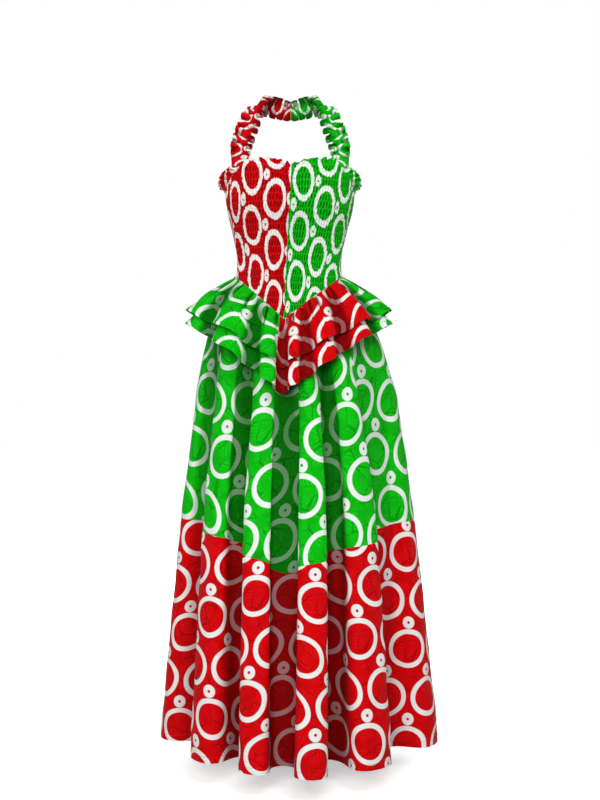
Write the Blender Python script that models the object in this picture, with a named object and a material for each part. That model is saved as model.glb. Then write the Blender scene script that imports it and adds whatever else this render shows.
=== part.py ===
"""A halter maxi dress as it hangs on a standing wearer.

It has a shirred bodice in four quarters, two ruffled straps that meet at the nape, a frill on each
armhole, a peplum of two tiers in four quarters, and a gathered skirt of two tiers.

Metres, +Z up, front toward -Y, +X at the right of somebody who looks at the front. The origin is at
the nape, on the face of the straps that lies on the neck.
"""

import functools
import math
from typing import Callable, NamedTuple, Sequence

import bmesh
import bpy
import numpy as np

# Cloth and seams
SKIRT_CLOTH = 0.0020
FRILL_CLOTH = 0.0015
BODICE_CLOTH = 0.0020
SEAM_GAP = 0.0003
WAIST_GAP = 0.0004

# The upright axis that every ring of the dress is measured from
AXIS_Y = -0.065

# Bodice: heights of its edges, and the ribs that its rows of elastic make
FRONT_TOP = -0.140
RIB_PITCH = 0.0166
RIB_HEIGHT = 0.0014
HEADING = 0.0145
HEADING_FLARE = 0.003
BACK_TOP = -0.198
PANEL_COLUMNS = 12
ROWS_PER_INNER_ROW = 4
ARMHOLE_TOP_X = 0.104
ARMHOLE_LOW = -0.200
CUT_ALLOWANCE = 0.008
CENTRE_SEAM_TOP_ANGLE = math.radians(2.7)

# Waist seam: a straight V in front and a shallower one behind, level with each other at the sides. Its
# height on the figure is found in steps
WAIST_SIDE = -0.400
WAIST_STEPS = 12
FRONT_TIP_X = -0.020
FRONT_TIP_Z = -0.501
BACK_TIP_Z = -0.458

# Skirt: lengths are measured down from the waist seam
UPPER_TIER = 0.560
HEM = -1.475
SKIRT_LENGTH = 1.0
COLUMNS_PER_FOLD = 12
UPPER_ROWS = (0.0, 0.02, 0.05, 0.10, 0.17, 0.27, 0.40, UPPER_TIER)
LOWER_ROWS = (0.0, 0.33, 0.66, 1.0)
FLARE_BLEND = 0.12
FOLD_GROWTH = 0.85
OVERHANG = 0.11
OVERHANG_FULL = 0.45
GATHERS_PER_FOLD = 3
GATHER_DEPTH = 0.007
GATHER_START = 0.04
GATHER_END = 0.30

# Peplum
PEPLUM_COLUMNS = 22
PEPLUM_ROWS = (0.0, 0.30, 0.65, 1.0)
PEPLUM_WAVES = (3, 3, 4, 4)
WAVE_DEPTH = 0.030
WAVE_UNEVENNESS = 0.035
WAVE_OVERHANG = 0.06
WAVE_OVERHANG_FULL = 0.18

# Straps: the mirror plane between them, their casing and their ruffles
STRAP_CENTRE_X = -0.0057
CASING_HALF = 0.006
WAVES_PER_STRAP_ROW = 2
STEPS_PER_STRAP_ROW = 8
RUFFLE_WAVE = 0.006
NAPE_ROW = 1
STRAP_INSET = 0.0034
TUCK_START = 7.1
TUCK_FULL = 8.0

# Armhole frills
FRILL_START = 0.30
FRILL_WAVES = 4
FRILL_STEPS = 20
FRILL_WIDTH = 0.024
FRILL_WAVE = 0.004
FRILL_CLEAR = 0.0008
FRILL_OUTWARD = 0.75
FRILL_UPWARD = 0.65
# A frill's width follows part of a half wave, from a least share of its full width
FRILL_LEAST = 0.35
FRILL_TAPER = (0.06, 0.86)

RED = (0.60, 0.003, 0.008, 1.0)
GREEN = (0.010, 0.420, 0.016, 1.0)
CLOTH_ROUGHNESS = 0.75
SHARP_ANGLE = math.radians(50)

# Steps for the slopes of a surface, small beside its folds
STEP_ACROSS = 1e-4
STEP_DOWN = 1e-4
STRAP_STEP = 5e-3

QUARTER_TURN = math.pi / 2

DRESS = "maxi_dress"


class Ring(NamedTuple):
    """A level section of the dress: its height, the place and reach of its outline, and its squareness."""

    height: float
    centre_x: float
    half_width: float
    front: float
    back: float
    squareness: float


class Fold(NamedTuple):
    """A ridge of the skirt and the valley after it.

    Angles are in degrees from the front toward +X, at the waist and at the hem. A reach is a share of
    the outline's radius, at the hem.
    """

    ridge_top: float
    ridge_hem: float
    ridge_reach: float
    valley_top: float
    valley_hem: float
    valley_reach: float


class Tier(NamedTuple):
    """A tier of the peplum.

    It starts out and down from the waist seam, and has a length and two slopes at the sides, and the
    same in front and behind. The slopes are in degrees below level, at its top and at its edge.
    """

    out: float
    drop: float
    side_length: float
    side_start: float
    side_end: float
    front_length: float
    front_start: float
    front_end: float


class StrapRow(NamedTuple):
    """A place on a strap: where it is, which way it faces, and half of its width with its ruffles."""

    out: float
    y: float
    z: float
    face_out: float
    face_y: float
    face_z: float
    half_width: float


class Trim(NamedTuple):
    """How far each edge of a piece stays back from its seam line."""

    left: float = 0.0
    right: float = 0.0
    top: float = 0.0
    bottom: float = 0.0


class Cut(NamedTuple):
    """A plane that a piece is cut on, and the direction that is cut away."""

    point: tuple[float, float, float]
    away: tuple[float, float, float]


# The outside of the bodice between its ribs, and the hips below it
TORSO = (
    Ring(-0.130, -0.0070, 0.1550, 0.103, 0.098, 2.5),
    Ring(-0.196, -0.0070, 0.1500, 0.115, 0.097, 2.4),
    Ring(-0.240, -0.0070, 0.1450, 0.118, 0.092, 2.3),
    Ring(-0.300, -0.0080, 0.1310, 0.100, 0.085, 2.2),
    Ring(-0.354, -0.0086, 0.1205, 0.090, 0.080, 2.2),
    Ring(-0.400, -0.0086, 0.1240, 0.095, 0.085, 2.2),
    Ring(-0.500, -0.0060, 0.1550, 0.112, 0.110, 2.2),
    Ring(-0.640, 0.0000, 0.1750, 0.122, 0.125, 2.2),
)

# The outline that the ridges of the skirt reach
SKIRT = (
    Ring(-0.400, -0.0060, 0.1500, 0.105, 0.105, 2.1),
    Ring(-0.500, -0.0030, 0.1830, 0.120, 0.118, 2.1),
    Ring(-0.545, 0.0000, 0.2000, 0.140, 0.135, 2.1),
    Ring(-0.600, 0.0040, 0.2160, 0.158, 0.150, 2.1),
    Ring(-0.667, 0.0080, 0.2310, 0.172, 0.171, 2.1),
    Ring(-0.730, 0.0095, 0.2405, 0.190, 0.190, 2.0),
    Ring(-0.956, 0.0110, 0.2690, 0.235, 0.235, 2.0),
    Ring(-1.110, 0.0120, 0.2860, 0.258, 0.262, 2.0),
    Ring(-1.260, 0.0125, 0.3020, 0.280, 0.283, 2.0),
    Ring(-1.475, 0.0130, 0.3220, 0.310, 0.312, 2.0),
)

# The first row is where the other strap runs on past the nape, so that the two meet square
STRAP = (
    StrapRow(-0.0300, -0.0050, 0.006, -0.55, 0.80, 0.20, 0.026),
    StrapRow(0.0000, 0.0015, 0.000, 0.00, 1.00, 0.00, 0.024),
    StrapRow(0.0300, -0.0050, 0.006, 0.55, 0.80, 0.20, 0.026),
    StrapRow(0.0600, -0.0300, 0.010, 0.80, -0.20, 0.60, 0.027),
    StrapRow(0.0780, -0.0700, -0.004, 0.62, -0.58, 0.56, 0.028),
    StrapRow(0.0900, -0.1020, -0.032, 0.40, -0.80, 0.48, 0.028),
    StrapRow(0.1020, -0.1270, -0.070, 0.30, -0.90, 0.32, 0.028),
    StrapRow(0.1130, -0.1400, -0.108, 0.35, -0.92, 0.15, 0.027),
    StrapRow(0.1180, -0.1430, -0.145, 0.45, -0.89, 0.00, 0.024),
    StrapRow(0.1220, -0.1430, -0.182, 0.50, -0.86, 0.00, 0.022),
)

UPPER_PEPLUM = Tier(0.0036, 0.0, 0.128, 36, 56, 0.132, 45, 75)
LOWER_PEPLUM = Tier(0.0028, 0.0036, 0.146, 43, 62, 0.180, 53, 82)

Grid = list[list[np.ndarray]]
Surface = Callable[[float, float], np.ndarray]


def mix(start: float, end: float, share: float) -> float:
    """The value that lies a share of the way from start to end."""
    return start + (end - start) * share


def ease(share: float) -> float:
    """A smooth step from 0 to 1."""
    share = min(max(share, 0.0), 1.0)
    return share * share * (3 - 2 * share)


def curve_value(before: float, start: float, end: float, after: float, share: float) -> float:
    """A value between start and end on a smooth curve through four evenly spaced ones."""
    rise = (end - before) / 2
    fall = (after - start) / 2
    bend = 2 * (start - end) + rise + fall
    return start + share * (rise + share * (3 * (end - start) - 2 * rise - fall + share * bend))


def row_at(rows: Sequence, place: float):
    """The row at a place along a table, between its rows where the place isn't whole."""
    last = len(rows) - 1
    index = min(max(math.floor(place), 0), last - 1)
    near = [rows[min(max(i, 0), last)] for i in (index - 1, index, index + 1, index + 2)]
    share = place - index
    return type(rows[0])(*(curve_value(*values, share) for values in zip(*near)))


@functools.lru_cache(maxsize=None)
def ring_at(rings: tuple, height: float) -> Ring:
    """The ring of a table at a height."""
    index = 0
    while index < len(rings) - 2 and height < rings[index + 1].height:
        index += 1
    span = rings[index].height - rings[index + 1].height
    share = min(max((rings[index].height - height) / span, 0.0), 1.0)
    return row_at(rings, index + share)


def reach(ring: Ring, angle: float) -> float:
    """How far a ring's outline is from the axis, at an angle from the front."""
    across = abs(math.sin(angle)) / ring.half_width
    depth = ring.front if math.cos(angle) > 0 else ring.back
    along = abs(math.cos(angle)) / depth
    power = ring.squareness
    return (across**power + along**power) ** (-1 / power)


def ring_point(ring: Ring, angle: float, radius: float, height: float) -> np.ndarray:
    """The point at an angle and a radius from a ring's centre."""
    x = ring.centre_x + radius * math.sin(angle)
    y = AXIS_Y - radius * math.cos(angle)
    return np.array((x, y, height))


def waist_tip(front: bool) -> tuple[float, float]:
    """The point in x and z of the seam's V, in front or behind."""
    return (FRONT_TIP_X, FRONT_TIP_Z) if front else (ring_at(TORSO, BACK_TIP_Z).centre_x, BACK_TIP_Z)


def waist_line(x: float, front: bool) -> float:
    """The height of the straight seam line over x, in front or behind."""
    tip_x, tip_z = waist_tip(front)
    side = ring_at(TORSO, WAIST_SIDE)
    edge_x = side.centre_x + math.copysign(side.half_width, x - tip_x)
    return mix(tip_z, WAIST_SIDE, (x - tip_x) / (edge_x - tip_x))


@functools.lru_cache(maxsize=None)
def waist_height(angle: float) -> float:
    """The height at which the waist seam crosses the figure at an angle."""
    height = WAIST_SIDE
    for _ in range(WAIST_STEPS):
        ring = ring_at(TORSO, height)
        x = ring.centre_x + reach(ring, angle) * math.sin(angle)
        height = waist_line(x, math.cos(angle) > 0)
    return height


def angle_at(ring: Ring, x: float, depth: float) -> float:
    """The angle at which a ring's outline crosses x, given its depth on that side."""
    out = abs(x - ring.centre_x) / ring.half_width
    near = depth * (1 - min(out, 1.0) ** ring.squareness) ** (1 / ring.squareness)
    return math.atan2(x - ring.centre_x, near)


FRONT_TIP_RING = ring_at(TORSO, FRONT_TIP_Z)
FRONT_SEAM = angle_at(FRONT_TIP_RING, FRONT_TIP_X, FRONT_TIP_RING.front)

# The seams of the peplum's quarters, the front one beside the tip of the V and the one at +X a little to
# the front
PEPLUM_SEAMS = (-QUARTER_TURN, math.radians(-11), math.radians(66), 2 * QUARTER_TURN, 3 * QUARTER_TURN)
# Where each run of waves starts: at a seam, but in front in the valley beside it
WAVE_STARTS = (-QUARTER_TURN, math.radians(-6.5), *PEPLUM_SEAMS[2:])

# The valley at the front seam's angle lies under the tip of the V, the ridge at 180 under the back one
FOLDS = (
    Fold(-90, -104, 1.03, -74, -72, 0.62),
    Fold(-56, -50, 0.90, -42, -37, 0.57),
    Fold(-28, -20, 0.95, math.degrees(FRONT_SEAM), -8, 0.69),
    Fold(13, 5, 1.03, 26, 20, 0.57),
    Fold(37, 33, 0.94, 58, 58, 0.64),
    Fold(90, 95, 1.01, 103, 108, 0.68),
    Fold(117, 120, 0.96, 132, 134, 0.62),
    Fold(148, 149, 0.98, 164, 164, 0.66),
    Fold(180, 180, 1.00, 196, 195, 0.60),
    Fold(211, 209, 0.96, 226, 221, 0.65),
    Fold(242, 234, 0.97, 256, 245, 0.68),
)
FRONT_FOLDS = (0, 5)
BACK_FOLDS = (5, 11)


def fold_pair(index: int) -> tuple[Fold, Fold]:
    """A fold and the one after it, with its angles a full turn on where the ring closes."""
    turn, place = divmod(index, len(FOLDS))
    following_turn, following_place = divmod(index + 1, len(FOLDS))
    shift = 360 * turn
    following_shift = 360 * following_turn
    first, second = FOLDS[place], FOLDS[following_place]
    return (
        first._replace(
            ridge_top=first.ridge_top + shift,
            ridge_hem=first.ridge_hem + shift,
            valley_top=first.valley_top + shift,
            valley_hem=first.valley_hem + shift,
        ),
        second._replace(
            ridge_top=second.ridge_top + following_shift,
            ridge_hem=second.ridge_hem + following_shift,
        ),
    )


def between(start: float, middle: float, end: float, share: float) -> float:
    """A value that runs straight from start to middle at a share of a half, and on to end."""
    return mix(start, middle, 2 * share) if share < 0.5 else mix(middle, end, 2 * share - 1)


def skirt_point(place: float, distance: float, height: float) -> np.ndarray:
    """A point on the outside of the skirt.

    place counts folds from the left side seam, distance is the length of cloth above the point, and
    height is the point's height.
    """
    index = math.floor(place)
    share = place - index
    first, second = fold_pair(index)
    down = max(distance / SKIRT_LENGTH, 0.0)
    top = between(first.ridge_top, first.valley_top, second.ridge_top, share)
    hem = between(first.ridge_hem, first.valley_hem, second.ridge_hem, share)
    width = math.radians(mix(second.ridge_top - first.ridge_top, second.ridge_hem - first.ridge_hem, down))
    lean = OVERHANG * width * ease(distance / OVERHANG_FULL) * math.sin(4 * math.pi * share)
    angle = math.radians(mix(top, hem, down)) + lean

    hips = ring_at(TORSO, height)
    full = ring_at(SKIRT, height)
    flare = ease(distance / FLARE_BLEND)
    ring = Ring(*(mix(a, b, flare) for a, b in zip(hips, full)))

    valley = (1 - math.cos(2 * math.pi * share)) / 2
    crest = mix(first.ridge_reach, second.ridge_reach, ease(share))
    folded = 1 + (mix(crest, first.valley_reach, valley) - 1) * down**FOLD_GROWTH
    gather = (1 - math.cos(2 * math.pi * GATHERS_PER_FOLD * share)) / 2
    gather *= ease(distance / GATHER_START) * (1 - ease(distance / GATHER_END))
    radius = reach(ring, angle) * folded - GATHER_DEPTH * gather
    return ring_point(ring, angle, radius, height)


@functools.lru_cache(maxsize=None)
def seam_height(place: float) -> float:
    """The height of the waist seam where a column of the skirt leaves it."""
    index = math.floor(place)
    first, second = fold_pair(index)
    angle = between(first.ridge_top, first.valley_top, second.ridge_top, place - index)
    return waist_height(math.radians(angle))


def upper_skirt(place: float, distance: float) -> np.ndarray:
    """A point on the upper tier, a distance below the waist seam."""
    return skirt_point(place, distance, seam_height(place) - distance)


def lower_skirt(place: float, share: float) -> np.ndarray:
    """A point on the lower tier, a share of the way from the tier seam to the level hem."""
    drop = seam_height(place) - UPPER_TIER - HEM
    distance = UPPER_TIER + share * drop
    return skirt_point(place, distance, seam_height(place) - distance)


def quarter_wave(angle: float) -> tuple[float, float]:
    """The peplum's waves at an angle, and how far the cloth there leans round over the valleys.

    A wave is 0 between waves and 1 on a crest. The lean is an angle.
    """
    angle = (angle + QUARTER_TURN) % (4 * QUARTER_TURN) - QUARTER_TURN
    index = max(i for i in range(4) if angle >= WAVE_STARTS[i])
    width = WAVE_STARTS[index + 1] - WAVE_STARTS[index]
    share = (angle - WAVE_STARTS[index]) / width
    share += WAVE_UNEVENNESS * math.sin(2 * math.pi * share)
    waves = PEPLUM_WAVES[index] * share
    lean = WAVE_OVERHANG * width / PEPLUM_WAVES[index] * math.sin(4 * math.pi * waves)
    return (1 - math.cos(2 * math.pi * waves)) / 2, lean


def peplum_point(tier: Tier, angle: float, share: float) -> np.ndarray:
    """A point on the outside of a peplum tier, a share of the way down it.

    Each line down the cloth is an arc that gets steeper, so its chord runs at its mean slope.
    """
    height = waist_height(angle)
    ring = ring_at(TORSO, height)
    here = ring_point(ring, angle, reach(ring, angle), height)
    ahead = ring_point(ring, angle + STEP_ACROSS, reach(ring, angle + STEP_ACROSS), height)
    tangent = (ahead - here) / np.linalg.norm(ahead - here)
    outward = np.array((tangent[1], -tangent[0], 0.0))
    facing = math.cos(angle) ** 2
    first = math.radians(mix(tier.side_start, tier.front_start, facing))
    last = math.radians(mix(tier.side_end, tier.front_end, facing))
    slope = mix(first, last, share)
    chord = mix(first, slope, 0.5)
    run = share * mix(tier.side_length, tier.front_length, facing)
    crest, lean = quarter_wave(angle)
    wave = WAVE_DEPTH * max(share, 0.0) * crest
    out = tier.out + run * math.cos(chord) + wave * math.sin(slope)
    rise = -tier.drop - run * math.sin(chord) + wave * math.cos(slope)
    round_by = lean * ease(run / WAVE_OVERHANG_FULL) * (reach(ring, angle) + out)
    return here + out * outward + round_by * tangent + np.array((0.0, 0.0, rise))


def strap_point(side: int, across: float, place: float) -> np.ndarray:
    """A point on the outside of a strap.

    side is -1 at -X and 1 at +X, across runs from -1 at the inner edge to 1 at the outer one, and place
    counts rows of the table from the nape.
    """
    row = row_at(STRAP, place)
    centre, above, below = (
        np.array(row_at(STRAP, at)[:3]) for at in (place, place - STRAP_STEP, place + STRAP_STEP)
    )
    down = below - above
    outer_edge = np.cross((row.face_out, row.face_y, row.face_z), down)
    outer_edge /= np.linalg.norm(outer_edge)
    face = np.cross(down, outer_edge)
    face /= np.linalg.norm(face)
    offset = across * row.half_width
    loose = max(abs(offset) - CASING_HALF, 0.0) / (row.half_width - CASING_HALF)
    phase = 2 * math.pi * WAVES_PER_STRAP_ROW * place
    free = 1 - ease((place - TUCK_START) / (TUCK_FULL - TUCK_START))
    wave = RUFFLE_WAVE * loose * free * math.copysign(1.0, across) * math.cos(phase)
    hanging = centre + offset * outer_edge + wave * face
    hanging[0] = STRAP_CENTRE_X + side * hanging[0]
    ring = ring_at(TORSO, min(row.z, FRONT_TOP))
    middle = angle_at(ring, STRAP_CENTRE_X + side * row.out, ring.front)
    angle = middle + side * offset / reach(ring, middle)
    tucked = ring_point(ring, angle, reach(ring, angle) - STRAP_INSET, row.z)
    return free * hanging + (1 - free) * tucked


def armhole_corner(side: int) -> np.ndarray:
    """The point in x and z at which the armhole edge meets the front top edge."""
    ring = ring_at(TORSO, FRONT_TOP)
    return np.array((ring.centre_x + side * ARMHOLE_TOP_X, FRONT_TOP))


def armhole_foot(side: int) -> np.ndarray:
    """The point in x and z at which the armhole edge meets the side seam."""
    ring = ring_at(TORSO, ARMHOLE_LOW)
    return np.array((ring.centre_x + side * ring.half_width, ARMHOLE_LOW))


def armhole_point(side: int, share: float) -> np.ndarray:
    """A point on the armhole edge, in the middle of the bodice's wall."""
    x, height = mix(armhole_corner(side), armhole_foot(side), min(share, 1.0))
    ring = ring_at(TORSO, height)
    angle = angle_at(ring, x, ring.front)
    return ring_point(ring, angle, reach(ring, angle) - BODICE_CLOTH / 2, height)


def frill_point(side: int, share: float, width_share: float) -> np.ndarray:
    """A point on an armhole frill: a share of the way along the armhole, and out from it."""
    along = mix(FRILL_START, 1.0, share)
    here = armhole_point(side, along)
    edge = armhole_foot(side) - armhole_corner(side)
    upward = np.array((-side * edge[1], 0.0, side * edge[0]))
    upward /= np.linalg.norm(upward)
    outward = here - np.array((ring_at(TORSO, here[2]).centre_x, AXIS_Y, here[2]))
    outward /= np.linalg.norm(outward)
    reaching = FRILL_OUTWARD * outward + FRILL_UPWARD * upward
    reaching /= np.linalg.norm(reaching)
    travel = np.array((edge[0], 0.0, edge[1])) / np.linalg.norm(edge)
    waving = np.cross(travel, reaching)
    waving /= np.linalg.norm(waving)
    fullness = math.sin(math.pi * mix(*FRILL_TAPER, share))
    width = FRILL_WIDTH * mix(FRILL_LEAST, 1.0, fullness)
    wave = FRILL_WAVE * width_share * math.sin(2 * math.pi * FRILL_WAVES * share)
    return here + FRILL_CLEAR * upward + width_share * width * reaching + wave * waving


def wall_grids(surface: Surface, columns: Sequence[float], rows: Sequence[float], thickness: float,
               trim: Trim = Trim(), hand: int = 1) -> tuple[Grid, Grid]:
    """The outer points of a wall, which lie on a surface, and the inner ones a thickness behind them.

    The surface takes a place across, which runs left to right seen from outside, and a place down. hand
    is -1 where it runs right to left. trim moves the edges back from their seam lines.
    """
    outer, inner = [], []
    for i, down in enumerate(rows):
        outer_row, inner_row = [], []
        for j, across in enumerate(columns):
            right = surface(across + STEP_ACROSS, down) - surface(across - STEP_ACROSS, down)
            below = surface(across, down + STEP_DOWN) - surface(across, down - STEP_DOWN)
            right /= np.linalg.norm(right)
            below /= np.linalg.norm(below)
            normal = np.cross(below, right)
            normal *= hand / np.linalg.norm(normal)
            point = surface(across, down)
            point = point + right * (trim.left * (j == 0) - trim.right * (j == len(columns) - 1))
            point = point + below * (trim.top * (i == 0) - trim.bottom * (i == len(rows) - 1))
            outer_row.append(point)
            inner_row.append(point - thickness * normal)
        outer.append(outer_row)
        inner.append(inner_row)
    return outer, inner


def wall_mesh(outer: Grid, inner: Grid, inner_rows: Sequence[int]) -> bmesh.types.BMesh:
    """A closed wall between two grids with the same columns.

    inner_rows gives the row of the outer grid that each row of the inner grid lies behind, so that a
    plain inside can have fewer rows than a ribbed outside.
    """
    wall = bmesh.new()
    front = [[wall.verts.new(point) for point in row] for row in outer]
    back = [[wall.verts.new(point) for point in row] for row in inner]
    for grid in (front, back):
        for upper, lower in zip(grid, grid[1:]):
            for j in range(len(upper) - 1):
                wall.faces.new((upper[j], lower[j], lower[j + 1], upper[j + 1]))
    for row in (0, -1):
        for j in range(len(front[0]) - 1):
            wall.faces.new((front[row][j], front[row][j + 1], back[row][j + 1], back[row][j]))
    for column in (0, -1):
        for i, (first, last) in enumerate(zip(inner_rows, inner_rows[1:])):
            edge = [front[k][column] for k in range(first, last + 1)]
            wall.faces.new(edge + [back[i + 1][column], back[i][column]])
    bmesh.ops.recalc_face_normals(wall, faces=wall.faces)
    return wall


def cut_away(wall: bmesh.types.BMesh, cut: Cut) -> None:
    """Removes what lies beyond a plane and closes the wall's edge there."""
    everything = wall.verts[:] + wall.edges[:] + wall.faces[:]
    bmesh.ops.bisect_plane(
        wall, geom=everything, dist=1e-7, plane_co=cut.point, plane_no=cut.away, clear_outer=True
    )
    rim = [edge for edge in wall.edges if edge.is_boundary]
    bmesh.ops.contextual_create(wall, geom=rim)
    bmesh.ops.recalc_face_normals(wall, faces=wall.faces)


def add_piece(name: str, wall: bmesh.types.BMesh, finish: bpy.types.Material) -> None:
    """Puts a finished wall in the dress's collection as an object."""
    bmesh.ops.triangulate(wall, faces=wall.faces)
    mesh = bpy.data.meshes.new(name)
    wall.to_mesh(mesh)
    wall.free()
    mesh.materials.append(finish)
    mesh.shade_smooth()
    mesh.set_sharp_from_angle(angle=SHARP_ANGLE)
    bpy.data.collections[DRESS].objects.link(bpy.data.objects.new(name, mesh))


def add_wall(name: str, grids: tuple[Grid, Grid], finish: bpy.types.Material) -> None:
    """Adds a piece whose outside and inside have the same rows."""
    outer, inner = grids
    add_piece(name, wall_mesh(outer, inner, range(len(outer))), finish)


def even_places(first: float, last: float, steps: int) -> list[float]:
    """Evenly spaced places from first to last."""
    return [mix(first, last, i / steps) for i in range(steps + 1)]


def make_finish(name: str, colour: tuple[float, float, float, float]) -> bpy.types.Material:
    """A matte cotton of one colour."""
    finish = bpy.data.materials.new(name)
    finish.use_nodes = True
    shader = finish.node_tree.nodes["Principled BSDF"]
    shader.inputs["Base Color"].default_value = colour
    shader.inputs["Roughness"].default_value = CLOTH_ROUGHNESS
    shader.inputs["Metallic"].default_value = 0.0
    finish.diffuse_color = colour
    return finish


def centre_seam(height: float) -> float:
    """The angle of the front centre seam at a height: it leans toward the tip of the V."""
    share = (FRONT_TOP - height) / (FRONT_TOP - FRONT_TIP_Z)
    return mix(CENTRE_SEAM_TOP_ANGLE, FRONT_SEAM, share)


def plane_through(first: np.ndarray, second: np.ndarray, upward: bool) -> Cut:
    """The plane along Y through two points in x and z, cutting away what is above or below it."""
    run = second - first
    away = np.array((-run[1], 0.0, run[0]))
    away *= math.copysign(1.0, away[2]) * (1 if upward else -1)
    return Cut((float(first[0]), 0.0, float(first[1])), tuple(map(float, away)))


def waist_cut(side: int, front: bool) -> Cut:
    """The plane of the waist seam on one quarter."""
    ring = ring_at(TORSO, WAIST_SIDE)
    edge = (ring.centre_x + side * ring.half_width, WAIST_SIDE)
    return plane_through(np.array(waist_tip(front)), np.array(edge), upward=False)


def add_bodice_quarter(name: str, side: int, front: bool, finish: bpy.types.Material) -> None:
    """A quarter of the bodice: ribs between its rows of elastic outside, plain inside, cut to its edges."""
    top = FRONT_TOP if front else BACK_TOP
    lowest = (FRONT_TIP_Z if front else BACK_TIP_Z) - CUT_ALLOWANCE
    half_ribs = math.ceil((top - HEADING - lowest) / (RIB_PITCH / 2))
    heights = [top] + [top - HEADING - RIB_PITCH / 2 * k for k in range(half_ribs + 1)]
    inner_rows = [0] + list(range(1, len(heights) - 1, ROWS_PER_INNER_ROW)) + [len(heights) - 1]
    outer, inner = [], []
    for row, height in enumerate(heights):
        ring = ring_at(TORSO, height)
        seam = centre_seam(height) if front else 2 * QUARTER_TURN
        edges = sorted((seam, side * QUARTER_TURN if front or side > 0 else 3 * QUARTER_TURN))
        outer_row, inner_row = [], []
        for column in range(PANEL_COLUMNS + 1):
            angle = mix(edges[0], edges[1], column / PANEL_COLUMNS)
            radius = reach(ring, angle)
            inset = SEAM_GAP / 2 / radius
            angle += inset * ((column == 0) - (column == PANEL_COLUMNS))
            flare = HEADING_FLARE * (column % 2) if row == 0 else 0.0
            rib = RIB_HEIGHT * (row > 1 and row % 2 == 0)
            outer_row.append(ring_point(ring, angle, radius + flare + rib, height))
            inner_row.append(ring_point(ring, angle, radius + flare - BODICE_CLOTH, height))
        outer.append(outer_row)
        if row in inner_rows:
            inner.append(inner_row)
    wall = wall_mesh(outer, inner, inner_rows)
    cut_away(wall, waist_cut(side, front))
    if front:
        cut_away(wall, plane_through(armhole_corner(side), armhole_foot(side), upward=True))
    add_piece(name, wall, finish)


def add_bodice(red: bpy.types.Material, green: bpy.types.Material) -> None:
    """Four shirred quarters, their colours changed over from front to back."""
    add_bodice_quarter("bodice_front_red", -1, True, red)
    add_bodice_quarter("bodice_front_green", 1, True, green)
    add_bodice_quarter("bodice_back_green", -1, False, green)
    add_bodice_quarter("bodice_back_red", 1, False, red)


def add_straps(red: bpy.types.Material, green: bpy.types.Material) -> None:
    """A ruffled strap on each side, from inside the top of the bodice to the middle of the nape."""
    last = len(STRAP) - 1
    places = even_places(NAPE_ROW, last, (last - NAPE_ROW) * STEPS_PER_STRAP_ROW)
    casing = CASING_HALF / max(row.half_width for row in STRAP)
    across = (-1.0, -casing, casing, 1.0)
    for name, side, finish in (("strap_red", -1, red), ("strap_green", 1, green)):
        surface = functools.partial(strap_point, side)
        grids = wall_grids(surface, across, places, FRILL_CLOTH, Trim(top=SEAM_GAP / 2), hand=side)
        add_wall(name, grids, finish)


def add_armhole_frills(red: bpy.types.Material, green: bpy.types.Material) -> None:
    """A gathered frill that stands out from each armhole edge."""
    places = even_places(0.0, 1.0, FRILL_STEPS)
    for name, side, finish in (("armhole_frill_red", -1, red), ("armhole_frill_green", 1, green)):
        surface = functools.partial(frill_point, side)
        grids = wall_grids(surface, places, (0.0, 1.0), FRILL_CLOTH, hand=-side)
        add_wall(name, grids, finish)


def add_peplum(red: bpy.types.Material, green: bpy.types.Material) -> None:
    """Two flared tiers in four quarters each, the shorter one on top."""
    seams = Trim(left=SEAM_GAP / 2, right=SEAM_GAP / 2)
    quarters = (("front_green", green), ("front_red", red), ("back_green", green), ("back_red", red))
    for tier_name, tier in (("upper", UPPER_PEPLUM), ("lower", LOWER_PEPLUM)):
        surface = functools.partial(peplum_point, tier)
        for i, (quarter, finish) in enumerate(quarters):
            columns = even_places(PEPLUM_SEAMS[i], PEPLUM_SEAMS[i + 1], PEPLUM_COLUMNS)
            grids = wall_grids(surface, columns, PEPLUM_ROWS, FRILL_CLOTH, seams)
            for angle, point in zip(columns, grids[0][0]):
                point[2] = waist_line(point[0], math.cos(angle) > 0) - WAIST_GAP - tier.drop
            add_wall(f"peplum_{tier_name}_{quarter}", grids, finish)


def add_skirt(red: bpy.types.Material, green: bpy.types.Material) -> None:
    """A front and a back in each of two tiers, sewn along the ridges at the sides."""
    half = SEAM_GAP / 2
    for side_name, (first, last) in (("front", FRONT_FOLDS), ("back", BACK_FOLDS)):
        columns = even_places(first, last, (last - first) * COLUMNS_PER_FOLD)
        grids = wall_grids(upper_skirt, columns, UPPER_ROWS, SKIRT_CLOTH, Trim(half, half, 0.0, half))
        for point in grids[0][0] + grids[1][0]:
            point[2] = waist_line(point[0], side_name == "front") - WAIST_GAP
        add_wall(f"skirt_upper_{side_name}", grids, green)
        grids = wall_grids(lower_skirt, columns, LOWER_ROWS, SKIRT_CLOTH, Trim(half, half, half, 0.0))
        add_wall(f"skirt_lower_{side_name}", grids, red)


def main() -> None:
    """Clears the scene and builds the dress in a collection of its own."""
    for thing in list(bpy.data.objects):
        bpy.data.objects.remove(thing)
    dress = bpy.data.collections.new(DRESS)
    bpy.context.scene.collection.children.link(dress)
    red = make_finish("red_cotton", RED)
    green = make_finish("green_cotton", GREEN)
    add_bodice(red, green)
    add_straps(red, green)
    add_armhole_frills(red, green)
    add_peplum(red, green)
    add_skirt(red, green)


if __name__ == "__main__":
    main()
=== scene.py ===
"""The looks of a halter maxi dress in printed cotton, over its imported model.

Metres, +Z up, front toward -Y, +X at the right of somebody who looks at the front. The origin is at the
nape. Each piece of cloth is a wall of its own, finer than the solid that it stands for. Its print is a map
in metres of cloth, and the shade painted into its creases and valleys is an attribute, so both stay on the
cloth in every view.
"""

import logging
import math
from dataclasses import dataclass
from enum import Enum
from typing import NamedTuple, Sequence, Union

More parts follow.
